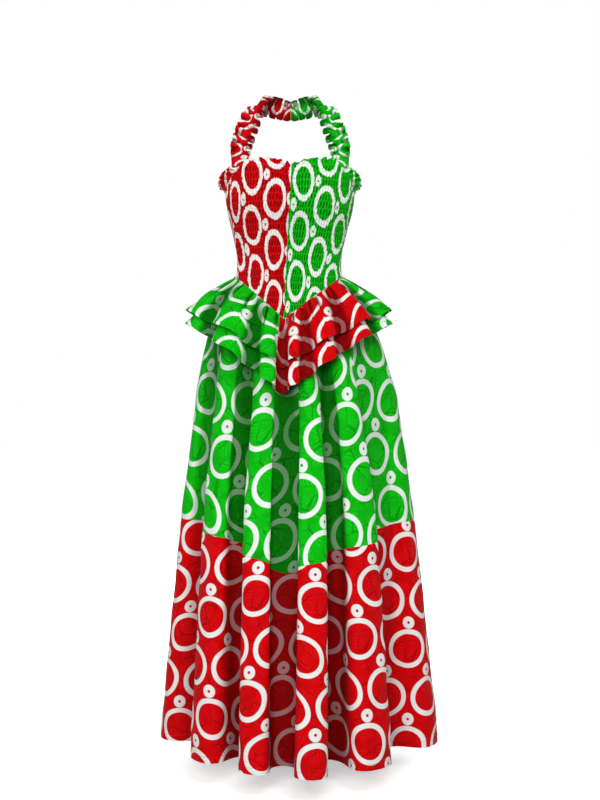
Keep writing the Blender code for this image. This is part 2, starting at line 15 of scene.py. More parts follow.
import bpy
import numpy as np
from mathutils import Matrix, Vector


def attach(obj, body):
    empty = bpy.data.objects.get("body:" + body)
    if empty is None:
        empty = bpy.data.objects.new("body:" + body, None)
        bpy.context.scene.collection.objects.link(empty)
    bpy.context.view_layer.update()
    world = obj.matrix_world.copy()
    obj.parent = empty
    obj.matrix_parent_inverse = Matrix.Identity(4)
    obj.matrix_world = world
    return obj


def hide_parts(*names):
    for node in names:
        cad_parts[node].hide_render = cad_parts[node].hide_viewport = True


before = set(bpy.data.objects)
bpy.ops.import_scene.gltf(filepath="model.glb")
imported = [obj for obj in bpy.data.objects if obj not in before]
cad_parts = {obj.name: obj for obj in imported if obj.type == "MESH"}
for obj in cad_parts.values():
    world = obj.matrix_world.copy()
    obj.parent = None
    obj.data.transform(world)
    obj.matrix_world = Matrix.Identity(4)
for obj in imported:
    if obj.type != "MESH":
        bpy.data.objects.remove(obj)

LOG = logging.getLogger("maxi_dress")

# The upright axis that every ring of the dress is measured from
AXIS_Y = -0.065

# Bodice edges
FRONT_TOP = -0.140
BACK_TOP = -0.198
HEADING = 0.0145
RIB_PITCH = 0.0166
ARMHOLE_TOP_X = 0.104
ARMHOLE_LOW = -0.200
CENTRE_SEAM_TOP_ANGLE = math.radians(2.7)

# Waist seam
WAIST_SIDE = -0.400
FRONT_TIP_X = -0.020
FRONT_TIP_Z = -0.501
BACK_TIP_Z = -0.458
WAIST_STEPS = 12

# Skirt
UPPER_TIER = 0.560
HEM = -1.475

HALF_SEAM_GAP = 0.00015
WAIST_GAP = 0.0004
STITCH_LIFT = 0.0003
STITCH_PITCH = 0.003
STITCH_SHARE = 0.7
TURN = 2 * math.pi
QUARTER_TURN = math.pi / 2
SHARP_ANGLE = math.radians(50)
# The least area that a sheet is given, as a share of its width times its length
LEAST_CUT = 0.31
PRINT_MAP = "print"
# The attribute that holds the shade painted into creases and valleys, from 0 to 1
PAINTED_SHADE = "painted_shade"

Number = float | np.ndarray
Colour = tuple[float, float, float, float]
WHITE = (1.0, 1.0, 1.0, 1.0)
# What an input of a node takes
Feed = Union["Term", bpy.types.NodeSocket, bpy.types.Material, float, tuple]


class Ring(NamedTuple):
    """A level section of the dress: its height, the place and reach of its outline, and its squareness."""

    height: float
    centre_x: float
    half_width: float
    front: float
    back: float
    squareness: float


class StrapRow(NamedTuple):
    """A place on a strap: where it is, which way it faces, and half of its width with its ruffles."""

    out: float
    y: float
    z: float
    face_out: float
    face_y: float
    face_z: float
    half_width: float


class Cloth(Enum):
    """The two colours of the cotton."""

    RED = "red_cotton"
    GREEN = "green_cotton"


TORSO = (
    Ring(-0.130, -0.0070, 0.1550, 0.103, 0.098, 2.5),
    Ring(-0.196, -0.0070, 0.1500, 0.115, 0.097, 2.4),
    Ring(-0.240, -0.0070, 0.1450, 0.118, 0.092, 2.3),
    Ring(-0.300, -0.0080, 0.1310, 0.100, 0.085, 2.2),
    Ring(-0.354, -0.0086, 0.1205, 0.090, 0.080, 2.2),
    Ring(-0.400, -0.0086, 0.1240, 0.095, 0.085, 2.2),
    Ring(-0.500, -0.0060, 0.1550, 0.112, 0.110, 2.2),
    Ring(-0.640, 0.0000, 0.1750, 0.122, 0.125, 2.2),
)

SKIRT = (
    Ring(-0.400, -0.0060, 0.1500, 0.105, 0.105, 2.1),
    Ring(-0.500, -0.0030, 0.1830, 0.120, 0.118, 2.1),
    Ring(-0.545, 0.0000, 0.2000, 0.140, 0.135, 2.1),
    Ring(-0.600, 0.0040, 0.2160, 0.158, 0.150, 2.1),
    Ring(-0.667, 0.0080, 0.2310, 0.172, 0.171, 2.1),
    Ring(-0.730, 0.0095, 0.2405, 0.190, 0.190, 2.0),
    Ring(-0.956, 0.0110, 0.2690, 0.235, 0.235, 2.0),
    Ring(-1.110, 0.0120, 0.2860, 0.258, 0.262, 2.0),
    Ring(-1.260, 0.0125, 0.3020, 0.280, 0.283, 2.0),
    Ring(-1.475, 0.0130, 0.3220, 0.310, 0.312, 2.0),
)

STRAP = (
    StrapRow(-0.0300, -0.0050, 0.006, -0.55, 0.80, 0.20, 0.026),
    StrapRow(0.0000, 0.0015, 0.000, 0.00, 1.00, 0.00, 0.024),
    StrapRow(0.0300, -0.0050, 0.006, 0.55, 0.80, 0.20, 0.026),
    StrapRow(0.0600, -0.0300, 0.010, 0.80, -0.20, 0.60, 0.027),
    StrapRow(0.0780, -0.0700, -0.004, 0.62, -0.58, 0.56, 0.028),
    StrapRow(0.0900, -0.1020, -0.032, 0.40, -0.80, 0.48, 0.028),
    StrapRow(0.1020, -0.1270, -0.070, 0.30, -0.90, 0.32, 0.028),
    StrapRow(0.1130, -0.1400, -0.108, 0.35, -0.92, 0.15, 0.027),
    StrapRow(0.1180, -0.1430, -0.145, 0.45, -0.89, 0.00, 0.024),
    StrapRow(0.1220, -0.1430, -0.182, 0.50, -0.86, 0.00, 0.022),
)


# Forms


def mix(start: Number, end: Number, share: Number) -> Number:
    """The value that lies a share of the way from start to end."""
    return start + (end - start) * share


def ease(share: np.ndarray) -> np.ndarray:
    """A smooth step from 0 to 1."""
    held = np.clip(share, 0.0, 1.0)
    return held * held * (3 - 2 * held)


def swell(turns: np.ndarray) -> np.ndarray:
    """A smooth swell from 0 to 1 and back, once in each turn."""
    return (1 - np.cos(TURN * turns)) / 2


def between(start: Number, middle: Number, end: Number, share: np.ndarray) -> np.ndarray:
    """A value that runs straight from start to middle at a share of a half, and on to end."""
    return np.where(share < 0.5, mix(start, middle, 2 * share), mix(middle, end, 2 * share - 1))


def on_curve(table: np.ndarray, place: np.ndarray) -> np.ndarray:
    """Reads a table between its rows.

    Args:
        table: the rows.
        place: places along the table, counted in rows.

    Returns:
        The rows at those places, on a smooth curve between whole ones.
    """
    last = len(table) - 1
    index = np.clip(np.floor(place).astype(int), 0, last - 1)
    share = (place - index)[..., None]
    before, start, end, after = (table[np.clip(index + k, 0, last)] for k in (-1, 0, 1, 2))
    rise = (end - before) / 2
    fall = (after - start) / 2
    bend = 2 * (start - end) + rise + fall
    return start + share * (rise + share * (3 * (end - start) - 2 * rise - fall + share * bend))


def unit(vectors: np.ndarray) -> np.ndarray:
    """Vectors at length 1."""
    return vectors / np.linalg.norm(vectors, axis=-1, keepdims=True)


def place_of(*coordinates: Number) -> np.ndarray:
    """Points from their coordinates."""
    return np.stack(np.broadcast_arrays(*coordinates), axis=-1)


def rings_at(rings: Sequence[Ring], height: Number) -> np.ndarray:
    """The centre, half width, depths and squareness of a form at each height."""
    table = np.array(rings)
    return on_curve(table[:, 1:], np.interp(-np.asarray(height), -table[:, 0], np.arange(len(table))))


def reach(ring: np.ndarray, angle: np.ndarray) -> np.ndarray:
    """Measures rings from their centres.

    Args:
        ring: the rings, as rings_at gives them.
        angle: angles from the front.

    Returns:
        How far each outline is from its centre.
    """
    across = np.abs(np.sin(angle)) / ring[..., 1]
    depth = np.where(np.cos(angle) > 0, ring[..., 2], ring[..., 3])
    along = np.abs(np.cos(angle)) / depth
    power = ring[..., 4]
    return (across**power + along**power) ** (-1 / power)


def ring_point(ring: np.ndarray, angle: np.ndarray, radius: np.ndarray, height: np.ndarray) -> np.ndarray:
    """The points at angles and radii from the rings' centres."""
    return place_of(ring[..., 0] + radius * np.sin(angle), AXIS_Y - radius * np.cos(angle), height)


def on_torso(angle: np.ndarray, height: np.ndarray, inset: float = 0.0) -> np.ndarray:
    """The points of the torso at angles and heights, or a little inside it."""
    ring = rings_at(TORSO, height)
    return ring_point(ring, angle, reach(ring, angle) - inset, height)


def from_axis(points: np.ndarray) -> np.ndarray:
    """The level directions in which points lie from the middle of the torso."""
    height = points[..., 2]
    return unit(points - place_of(rings_at(TORSO, height)[..., 0], AXIS_Y, height))


def angle_at(ring: np.ndarray, x: Number) -> np.ndarray:
    """Finds where the front of a ring's outline crosses x.

    Args:
        ring: the rings, as rings_at gives them.
        x: where to look.

    Returns:
        The angles from the front.
    """
    out = np.abs(x - ring[..., 0]) / ring[..., 1]
    power = ring[..., 4]
    near = ring[..., 2] * (1 - np.minimum(out, 1.0) ** power) ** (1 / power)
    return np.arctan2(x - ring[..., 0], near)


def waist_line(x: np.ndarray, front: np.ndarray | bool) -> np.ndarray:
    """Follows the straight seam line from the side to the tip of its V.

    Args:
        x: where to read the line.
        front: whether in front or behind.

    Returns:
        The line's height.
    """
    side = rings_at(TORSO, WAIST_SIDE)
    tip_x = np.where(front, FRONT_TIP_X, rings_at(TORSO, BACK_TIP_Z)[0])
    tip_z = np.where(front, FRONT_TIP_Z, BACK_TIP_Z)
    edge_x = side[0] + np.copysign(side[1], x - tip_x)
    return mix(tip_z, WAIST_SIDE, (x - tip_x) / (edge_x - tip_x))


def waist_height(angle: np.ndarray) -> np.ndarray:
    """The height at which the waist seam crosses the torso at each angle, by repeated approach."""
    height = np.full(np.shape(angle), WAIST_SIDE)
    for _ in range(WAIST_STEPS):
        height = waist_line(on_torso(angle, height)[..., 0], np.cos(angle) > 0)
    return height


def armhole(side: int) -> tuple[np.ndarray, np.ndarray]:
    """The upper and lower end of an armhole's edge, in x and z: side is -1 at -X and 1 at +X."""
    upper, foot = rings_at(TORSO, FRONT_TOP), rings_at(TORSO, ARMHOLE_LOW)
    return (np.array((upper[0] + side * ARMHOLE_TOP_X, FRONT_TOP)),
            np.array((foot[0] + side * foot[1], ARMHOLE_LOW)))


def uneven(*places: np.ndarray, seed: int, waves: int = 5) -> np.ndarray:
    """Smooth unevenness from -1 to 1.

    Args:
        places: places counted in waves, in one or more directions.
        seed: picks the unevenness, the same each time.
        waves: how many waves are laid over each other.

    Returns:
        The unevenness at each place.
    """
    chance = np.random.default_rng(seed)
    total = 0.0
    for _ in range(waves):
        phase = chance.uniform(0, TURN)
        for place in places:
            phase = phase + chance.uniform(0.6, 1.7) * chance.choice((-1, 1)) * TURN * place
        total = total + np.sin(phase)
    return total / waves


# Finishes


class Term:
    """A number or colour in a node tree, so that sums on it read as sums."""

    def __init__(self, nodes: "Nodes", socket: bpy.types.NodeSocket) -> None:
        """Takes the tree's helper and the output that gives the value."""
        self.nodes = nodes
        self.socket = socket

    def do(self, operation: str, *others: Feed) -> "Term":
        """One step of arithmetic on this value and others."""
        feeds = dict(enumerate((self, *others)))
        return Term(self.nodes, self.nodes.add("ShaderNodeMath", feeds, operation=operation).outputs[0])

    def __add__(self, other: Feed) -> "Term":
        """The sum."""
        return self.do("ADD", other)

    def __sub__(self, other: Feed) -> "Term":
        """The difference."""
        return self.do("SUBTRACT", other)

    def __mul__(self, other: Feed) -> "Term":
        """The product."""
        return self.do("MULTIPLY", other)

    def __truediv__(self, other: Feed) -> "Term":
        """The quotient."""
        return self.do("DIVIDE", other)

    def rest(self) -> "Term":
        """What is left of 1."""
        return self.do("MULTIPLY_ADD", -1.0, 1.0)

    def step(self, start: float, end: float) -> "Term":
        """A smooth step: 0 where the value is at start, 1 where it is at end."""
        feeds = {"Value": self, "From Min": start, "From Max": end}
        node = self.nodes.add("ShaderNodeMapRange", feeds, interpolation_type="SMOOTHSTEP")
        return Term(self.nodes, node.outputs["Result"])


def diagonal(x: Term, y: Term) -> Term:
    """The length of a line with these two sides."""
    return (x * x + y * y).do("SQRT")


class Nodes:
    """A short way to write a node tree."""

    def __init__(self, tree: bpy.types.NodeTree) -> None:
        """Takes the tree that the nodes are added to."""
        self.tree = tree

    def feed(self, socket: bpy.types.NodeSocket, value: Feed) -> None:
        """Links an output to a socket, or sets the socket's own value."""
        value = value.socket if isinstance(value, Term) else value
        if isinstance(value, bpy.types.NodeSocket):
            self.tree.links.new(value, socket)
        else:
            socket.default_value = value

    def add(self, kind: str, feeds: dict | None = None, **settings: str) -> bpy.types.Node:
        """Adds a node.

        Args:
            kind: the node's type.
            feeds: what goes into its inputs, by name or number.
            settings: its own properties.

        Returns:
            The node.
        """
        node = self.tree.nodes.new(kind)
        for key, value in settings.items():
            setattr(node, key, value)
        for key, value in (feeds or {}).items():
            self.feed(node.inputs[key], value)
        return node

    def coat(self, feeds: dict) -> None:
        """Feeds the material's own shader, by the names of its inputs."""
        shader = self.tree.nodes["Principled BSDF"]
        for key, value in feeds.items():
            self.feed(shader.inputs[key], value)

    def split(self, vector: Feed) -> tuple[Term, Term]:
        """The first two parts of a vector or colour."""
        outputs = self.add("ShaderNodeSeparateXYZ", {0: vector}).outputs
        return Term(self, outputs[0]), Term(self, outputs[1])

    def blend(self, share: Feed, first: Feed, second: Feed) -> Term:
        """A colour between two."""
        node = self.add("ShaderNodeMix", {0: share, 6: first, 7: second}, data_type="RGBA")
        return Term(self, node.outputs[2])

    def noise(self, vector: Feed, scale: float, detail: float = 2.0, output: str = "Fac") -> Term:
        """A noise texture's value, or its colour."""
        feeds = {"Vector": vector, "Scale": scale, "Detail": detail}
        return Term(self, self.add("ShaderNodeTexNoise", feeds).outputs[output])

    def bump(self, height: Term, strength: float, depth: float,
             under: dict | None = None) -> bpy.types.NodeSocket:
        """The normal of a relief, over another one where under holds it."""
        feeds = {"Height": height, "Strength": strength, "Distance": depth, **(under or {})}
        return self.add("ShaderNodeBump", feeds).outputs[0]


def new_material(name: str, shown_as: Colour) -> tuple[bpy.types.Material, Nodes]:
    """A new material with its tree's helper."""
    material = bpy.data.materials.new(name)
    material.use_nodes = True
    material.diffuse_color = shown_as
    return material, Nodes(material.node_tree)


def darker(colour: Colour, share: float) -> Colour:
    """A share of a colour."""
    return (*(share * part for part in colour[:3]), 1.0)


@dataclass(frozen=True)
class RingPrint:
    """A common repeat of rings, each with a dot above it, in rows that are shifted by half a pitch."""

    across: float = 0.104
    down: float = 0.110
    half_width: float = 0.0405
    half_height: float = 0.0392
    band: float = 0.0054
    dot_up: float = 0.0597
    dot_radius: float = 0.0140
    hole_radius: float = 0.0033
    edge: float = 0.0007
    hand_drawn: float = 0.009
    wander_scale: float = 9.0
    fray_scale: float = 260.0

    def cell(self, across: Term, down: Term) -> tuple[Term, Term]:
        """How far each point of the cloth is from the centre of its cell, across and up."""
        rows = down / self.down
        row = rows.do("ROUND")
        columns = across / self.across + (row * 0.5).do("FLOORED_MODULO", 1.0)
        return (columns - columns.do("ROUND")) * self.across, (rows - row) * self.down

    def mask(self, nodes: Nodes, cloth: Feed, ragged: float) -> Term:
        """Where the print is, from 0 to 1.

        Args:
            nodes: the tree's helper.
            cloth: the map of the cloth, in metres.
            ragged: how far gathers push the print's edges about.

        Returns:
            The mask.
        """
        wander = nodes.split(nodes.noise(cloth, self.wander_scale, 1.0, "Color"))
        fray = (nodes.noise(cloth, self.fray_scale, 1.0) - 0.5) * ragged
        x, y = (place + (drift - 0.5) * self.hand_drawn + fray
                for place, drift in zip(nodes.split(cloth), wander))
        ring_x, ring_y = self.cell(x, y)
        size = diagonal(ring_x / self.half_width, ring_y / self.half_height)
        off = (size - 1.0).do("ABSOLUTE") * ((self.half_width + self.half_height) / 2)
        ring = off.step(self.band + self.edge, self.band - self.edge)
        far = diagonal(*self.cell(x, y - self.dot_up))
        disc = far.step(self.dot_radius + self.edge, self.dot_radius - self.edge)
        rim = far.step(self.hole_radius - self.edge, self.hole_radius + self.edge)
        return ring.do("MAXIMUM", disc * rim)


@dataclass(frozen=True)
class PrintedCotton:
    """Woven cotton with rings and dots, and faint leaves of a deeper tone in its ground.

    worn is how much the ground's tone wanders, and bright the share of the painted crease shade that the
    print is spared. The pitches of the tones and leaves are texture scales, in cells to the metre.
    """

    name: str
    ground: Colour
    deep: Colour
    light: Colour
    shadow: Colour
    ink: Colour = (0.80, 0.83, 0.80, 1.0)
    ink_cover: float = 0.97
    roughness: float = 0.54
    roughness_range: float = 0.16
    ragged: float = 0.0
    leaves: float = 1.0
    leaf_scale: float = 24.0
    leaf_turn: float = 6.28
    leaf_bend: float = 0.022
    bend_scale: float = 26.0
    vein_scale: float = 42.0
    vein_distortion: float = 1.5
    vein_weight: float = 0.8
    patch_scale: float = 34.0
    line_weight: float = 0.55
    light_weight: float = 0.5
    worn: float = 0.26
    worn_scale: float = 16.0
    bright: float = 0.0
    sheen: float = 0.01
    sheen_roughness: float = 0.45
    gloss: float = 0.03
    thread: float = 0.0007
    weave_height: float = 0.00008
    weave_strength: float = 0.5
    crinkle_scale: float = 55.0
    crinkle_height: float = 0.0007
    crinkle_strength: float = 0.8
    sunken_lines: float = 0.25
    pattern: RingPrint = RingPrint()

    def leaf_lines(self, nodes: Nodes, cloth: Feed) -> tuple[Term, Term]:
        """Faint leaves: an outline round each, and veins across it that lean its own way.

        Args:
            nodes: the tree's helper.
            cloth: the map of the cloth, in metres.

        Returns:
            The lines, and a light patch on each leaf, from 0 to 1.
        """
        bend = nodes.noise(cloth, self.bend_scale, 2.0, "Color")
        bending = {0: bend, 1: (self.leaf_bend, self.leaf_bend, 0.0), 2: cloth}
        moved = nodes.add("ShaderNodeVectorMath", bending, operation="MULTIPLY_ADD").outputs[0]
        leaf = {"Vector": moved, "Scale": self.leaf_scale}
        cells = nodes.add("ShaderNodeTexVoronoi", leaf, feature="F1")
        lean = {"Vector": moved, "Angle": Term(nodes, cells.outputs["Color"]) * self.leaf_turn}
        leaning = nodes.add("ShaderNodeVectorRotate", lean, rotation_type="Z_AXIS")
        edges = nodes.add("ShaderNodeTexVoronoi", leaf, feature="DISTANCE_TO_EDGE")
        rim = Term(nodes, edges.outputs["Distance"]).step(0.055, 0.02)
        veins = nodes.add("ShaderNodeTexWave", {
            "Vector": leaning.outputs[0], "Scale": self.vein_scale, "Distortion": self.vein_distortion,
        }, wave_type="BANDS")
        vein = Term(nodes, veins.outputs["Fac"]).step(0.80, 0.97)
        patch = nodes.noise(cloth, self.patch_scale, 1.0).step(0.36, 0.56)
        return rim.do("MAXIMUM", vein * self.vein_weight) * patch, patch

    def make(self) -> bpy.types.Material:
        """Builds the material.

        Returns:
            The material, which reads a print map in metres and an attribute of shade painted into creases.
        """
        material, nodes = new_material(self.name, self.ground)
        cloth = nodes.add("ShaderNodeUVMap", uv_map=PRINT_MAP).outputs[0]
        lines, patch = self.leaf_lines(nodes, cloth)
        worn = nodes.noise(cloth, self.worn_scale, 2.0).step(0.34, 0.64)
        ground = nodes.blend(worn * self.worn, self.ground, self.deep)
        ground = nodes.blend(lines * (self.line_weight * self.leaves), ground, self.deep)
        unlined = patch - lines * patch
        ground = nodes.blend(unlined * (self.light_weight * self.leaves), ground, self.light)
        shown = self.pattern.mask(nodes, cloth, self.ragged)
        colour = nodes.blend(shown * self.ink_cover, ground, self.ink)
        # Painted shade: the attribute darkens the colour toward the shadow colour, less on the print
        painted_shade = Term(nodes, nodes.add("ShaderNodeAttribute", attribute_name=PAINTED_SHADE).outputs["Fac"])
        shade = nodes.blend(painted_shade * (shown * self.bright).rest(), WHITE, self.shadow)
        shaded = nodes.add("ShaderNodeVectorMath", {0: colour, 1: shade}, operation="MULTIPLY")
        crinkle = nodes.noise(cloth, self.crinkle_scale, 3.0)
        nodes.coat({
            "Base Color": shaded.outputs[0],
            "Roughness": crinkle * self.roughness_range + self.roughness,
            "Sheen Weight": self.sheen,
            "Sheen Roughness": self.sheen_roughness,
            "Specular IOR Level": self.gloss,
            "Normal": self.relief(nodes, cloth, crinkle, lines),
        })
        return material

    def relief(self, nodes: Nodes, cloth: Feed, crinkle: Term, lines: Term) -> bpy.types.NodeSocket:
        """The weave's threads over soft crinkles and the leaves' lines.

        Args:
            nodes: the tree's helper.
            cloth: the map of the cloth, in metres.
            crinkle: a soft noise.
            lines: the leaves' lines.

        Returns:
            The normal.
        """
        warp, weft = ((place * (TURN / self.thread)).do("SINE") for place in nodes.split(cloth))
        weave = nodes.bump(warp * weft, self.weave_strength, self.weave_height)
        height = crinkle - lines * self.sunken_lines
        return nodes.bump(height, self.crinkle_strength, self.crinkle_height, {"Normal": weave})


@dataclass(frozen=True)
class SpunThread:
    """Sewing thread: two twisted plies of one colour."""

    name: str
    colour: Colour
    ply_scale: float = 900.0
    ply_shade: float = 0.6

    def make(self) -> bpy.types.Material:
        """Builds the material: its plies run aslant in fine bands, with shade painted between them."""
        material, nodes = new_material(self.name, self.colour)
        where = nodes.add("ShaderNodeTexCoord").outputs["Object"]
        plies = nodes.add("ShaderNodeTexWave", {"Vector": where, "Scale": self.ply_scale},
                          wave_type="BANDS", bands_direction="DIAGONAL").outputs["Fac"]
        nodes.coat({
            # Painted shade: the darker bands stand for shade in the grooves between the plies
            "Base Color": nodes.blend(plies, darker(self.colour, self.ply_shade), self.colour),
            "Roughness": 0.5,
            "Sheen Weight": 0.05,
            "Specular IOR Level": 0.2,
        })
        return material


@dataclass(frozen=True)
class PalePaper:
    """The studio's plain pale floor: it glows as a lit sweep of paper does, but less round the dress.

    The dress's shadow shows within the distance near, and the full glow starts at far.
    """

    name: str = "studio_floor"
    colour: Colour = (0.93, 0.93, 0.93, 1.0)
    mottle: float = 0.985
    near_glow: float = 0.48
    far_glow: float = 0.85
    near: float = 0.7
    far: float = 2.6

    def make(self) -> bpy.types.Material:
        """Builds the material, with a faint mottle."""
        material, nodes = new_material(self.name, self.colour)
        where = nodes.add("ShaderNodeTexCoord").outputs["Object"]
        away = diagonal(*nodes.split(where)).step(self.near, self.far)
        nodes.coat({
            "Base Color": nodes.blend(nodes.noise(where, 3.0, 3.0), darker(self.colour, self.mottle),
                                      self.colour),
            "Roughness": 0.9,
            "Emission Color": WHITE,
            "Emission Strength": away * (self.far_glow - self.near_glow) + self.near_glow,
        })
        return material


# The cotton's ground, its leaves' lines, their light patches, and the painted shade colour of a deep crease
TONES = {
    Cloth.RED: (
        (0.60, 0.0005, 0.002, 1.0),
        (0.28, 0.0005, 0.001, 1.0),
        (0.78, 0.003, 0.008, 1.0),
        (0.27, 0.07, 0.08, 1.0),
    ),
    Cloth.GREEN: (
        (0.002, 0.45, 0.004, 1.0),
        (0.001, 0.20, 0.002, 1.0),
        (0.008, 0.62, 0.012, 1.0),
        (0.08, 0.22, 0.08, 1.0),
    ),
}
THREADS = {Cloth.RED: (0.42, 0.004, 0.008, 1.0), Cloth.GREEN: (0.008, 0.30, 0.012, 1.0)}


class Wardrobe:
    """The finishes, made once."""

    def __init__(self) -> None:
        """Makes flat and shirred cotton and thread in both colours."""
        gathered = RingPrint(half_width=0.036, half_height=0.044, band=0.0068, dot_up=0.069,
                             dot_radius=0.0130, hand_drawn=0.018)
        shirring = {"ragged": 0.007, "leaves": 0.3, "bright": 0.75, "pattern": gathered}
        self.flat, self.shirred, self.thread = {}, {}, {}
        for slot, tones in TONES.items():
            colour = slot.name.lower()
            self.flat[slot] = PrintedCotton(f"{colour}_printed_cotton", *tones).make()
            self.shirred[slot] = PrintedCotton(f"{colour}_shirred_cotton", *tones, **shirring).make()
            self.thread[slot] = SpunThread(f"{colour}_thread", THREADS[slot]).make()


# Cloth


def add_object(name: str, data: bpy.types.ID) -> bpy.types.Object:
    """Puts a new object with its data in the scene."""
    added = bpy.data.objects.new(name, data)
    bpy.context.scene.collection.objects.link(added)
    return added


def arc_along(points: np.ndarray) -> np.ndarray:
    """The distance along each row of a grid, from its first column."""
    steps = np.linalg.norm(np.diff(points, axis=1), axis=-1)
    return np.concatenate((np.zeros((len(points), 1)), np.cumsum(steps, axis=1)), axis=1)


def arc_down(points: np.ndarray) -> np.ndarray:
    """The distance down each column of a grid, from its first row."""
    return arc_along(points.swapaxes(0, 1)).swapaxes(0, 1)


def facing(points: np.ndarray) -> np.ndarray:
    """The outward direction at each point of a grid."""
    return unit(np.cross(np.gradient(points, axis=0), np.gradient(points, axis=1)))


def trim_sides(points: np.ndarray, guide: np.ndarray) -> None:
    """Draws both side edges of a grid in by half a seam gap, along the rows of a guide."""
    trim = HALF_SEAM_GAP * unit(np.gradient(guide, axis=1))
    points[:, 0] += trim[:, 0]
    points[:, -1] -= trim[:, -1]


def turned(back: bool, *grids: np.ndarray) -> list[np.ndarray]:
    """Grids with their columns in the other order where that is asked."""
    return [grid[:, ::-1] if back else grid for grid in grids]


def unbroken(cloth: np.ndarray) -> tuple[np.ndarray, np.ndarray]:
    """A print's map at the left and right edge of each column of faces, where nothing breaks it."""
    return cloth[:, :-1], cloth[:, 1:]


def level_line(points: np.ndarray, heights: np.ndarray, level: float) -> np.ndarray:
    """Follows a level over a grid.

    Args:
        points: the grid's points.
        heights: the grid's heights, falling down each column.
        level: the level to follow.

    Returns:
        One point for each column that reaches the level.
    """
    line = []
    for column in np.flatnonzero((heights[0] >= level) & (heights[-1] <= level)):
        row = np.interp(-level, -heights[:, column], np.arange(len(heights)))
        low = int(row)
        high = min(low + 1, len(heights) - 1)
        line.append(mix(points[low, column], points[high, column], row - low))
    return np.array(line)


@dataclass
class ClothWall:
    """A piece of cloth as a grid of points on its outside, rows going down and columns left to right.

    left and right hold the print's map at the left and right edge of each column of faces, so that the
    print can break where a pleat hides cloth. painted_shade is how much shade is painted on each point, from
    0 to 1, most in creases and valleys.
    """

    name: str
    points: np.ndarray
    left: np.ndarray
    right: np.ndarray
    thickness: float
    painted_shade: np.ndarray | None = None

    def lifted(self) -> np.ndarray:
        """The points moved out to where stitches lie on them."""
        return self.points + STITCH_LIFT * facing(self.points)

    def cut(self) -> tuple[float, float, float]:
        """The cloth's width, length and area, laid flat."""
        along = float(np.linalg.norm(np.diff(self.points, axis=1), axis=-1).sum(axis=1).max())
        down = float(np.linalg.norm(np.diff(self.points, axis=0), axis=-1).sum(axis=0).max())
        first = self.points[1:, :-1] - self.points[:-1, 1:]
        second = self.points[1:, 1:] - self.points[:-1, :-1]
        area = float(np.linalg.norm(np.cross(first, second), axis=-1).sum() / 2)
        return along, down, min(max(area, LEAST_CUT * along * down), along * down)

    def build(self, finish: bpy.types.Material) -> bpy.types.Object:
        """Makes the wall a closed mesh in the scene.

        Args:
            finish: the cloth's material.

        Returns:
            The new object.
        """
        rows, columns = self.points.shape[:2]
        count = rows * columns
        corners = np.arange(count).reshape(rows, columns)
        ring = (corners[:-1, :-1], corners[1:, :-1], corners[1:, 1:], corners[:-1, 1:])
        maps_round = (self.left[:-1], self.left[1:], self.right[1:], self.right[:-1])
        faces, maps = [], []
        for order, shift in (((0, 1, 2, 3), 0), ((0, 3, 2, 1), count)):
            faces.append(np.stack([ring[k] for k in order], -1).reshape(-1, 4) + shift)
            maps.append(np.stack([maps_round[k] for k in order], 2).reshape(-1, 4, 2))

        # The four narrow sides: each one's corners, the map at their starts and ends, and which way round
        sides = (
            (corners[0, :-1], corners[0, 1:], self.left[0], self.right[0], (0, 1, 2, 3)),
            (corners[-1, :-1], corners[-1, 1:], self.left[-1], self.right[-1], (3, 2, 1, 0)),
            (corners[:-1, 0], corners[1:, 0], self.left[:-1, 0], self.left[1:, 0], (0, 3, 2, 1)),
            (corners[:-1, -1], corners[1:, -1], self.right[:-1, -1], self.right[1:, -1], (0, 1, 2, 3)),
        )
        for start, end, start_map, end_map, order in sides:
            faces.append(np.stack((start, end, end + count, start + count), -1)[:, order])
            maps.append(np.stack((start_map, end_map, end_map, start_map), 1)[:, order])

        mesh = bpy.data.meshes.new(self.name)
        inner = self.points - self.thickness * facing(self.points)
        vertices = np.concatenate((self.points.reshape(-1, 3), inner.reshape(-1, 3)))
        mesh.from_pydata(vertices.tolist(), [], np.concatenate(faces).tolist())
        uv = mesh.uv_layers.new(name=PRINT_MAP)
        uv.data.foreach_set("uv", np.concatenate(maps).astype(np.float32).ravel())
        painted_shade = mesh.attributes.new(PAINTED_SHADE, "FLOAT", "POINT")
        depth = np.zeros((rows, columns)) if self.painted_shade is None else np.clip(self.painted_shade, 0.0, 1.0)
        painted_shade.data.foreach_set("value", np.tile(depth.ravel(), 2).astype(np.float32))
        mesh.materials.append(finish)
        mesh.shade_smooth()
        mesh.set_sharp_from_angle(angle=SHARP_ANGLE)
        mesh.update()
        return add_object(self.name, mesh)


# Stitches


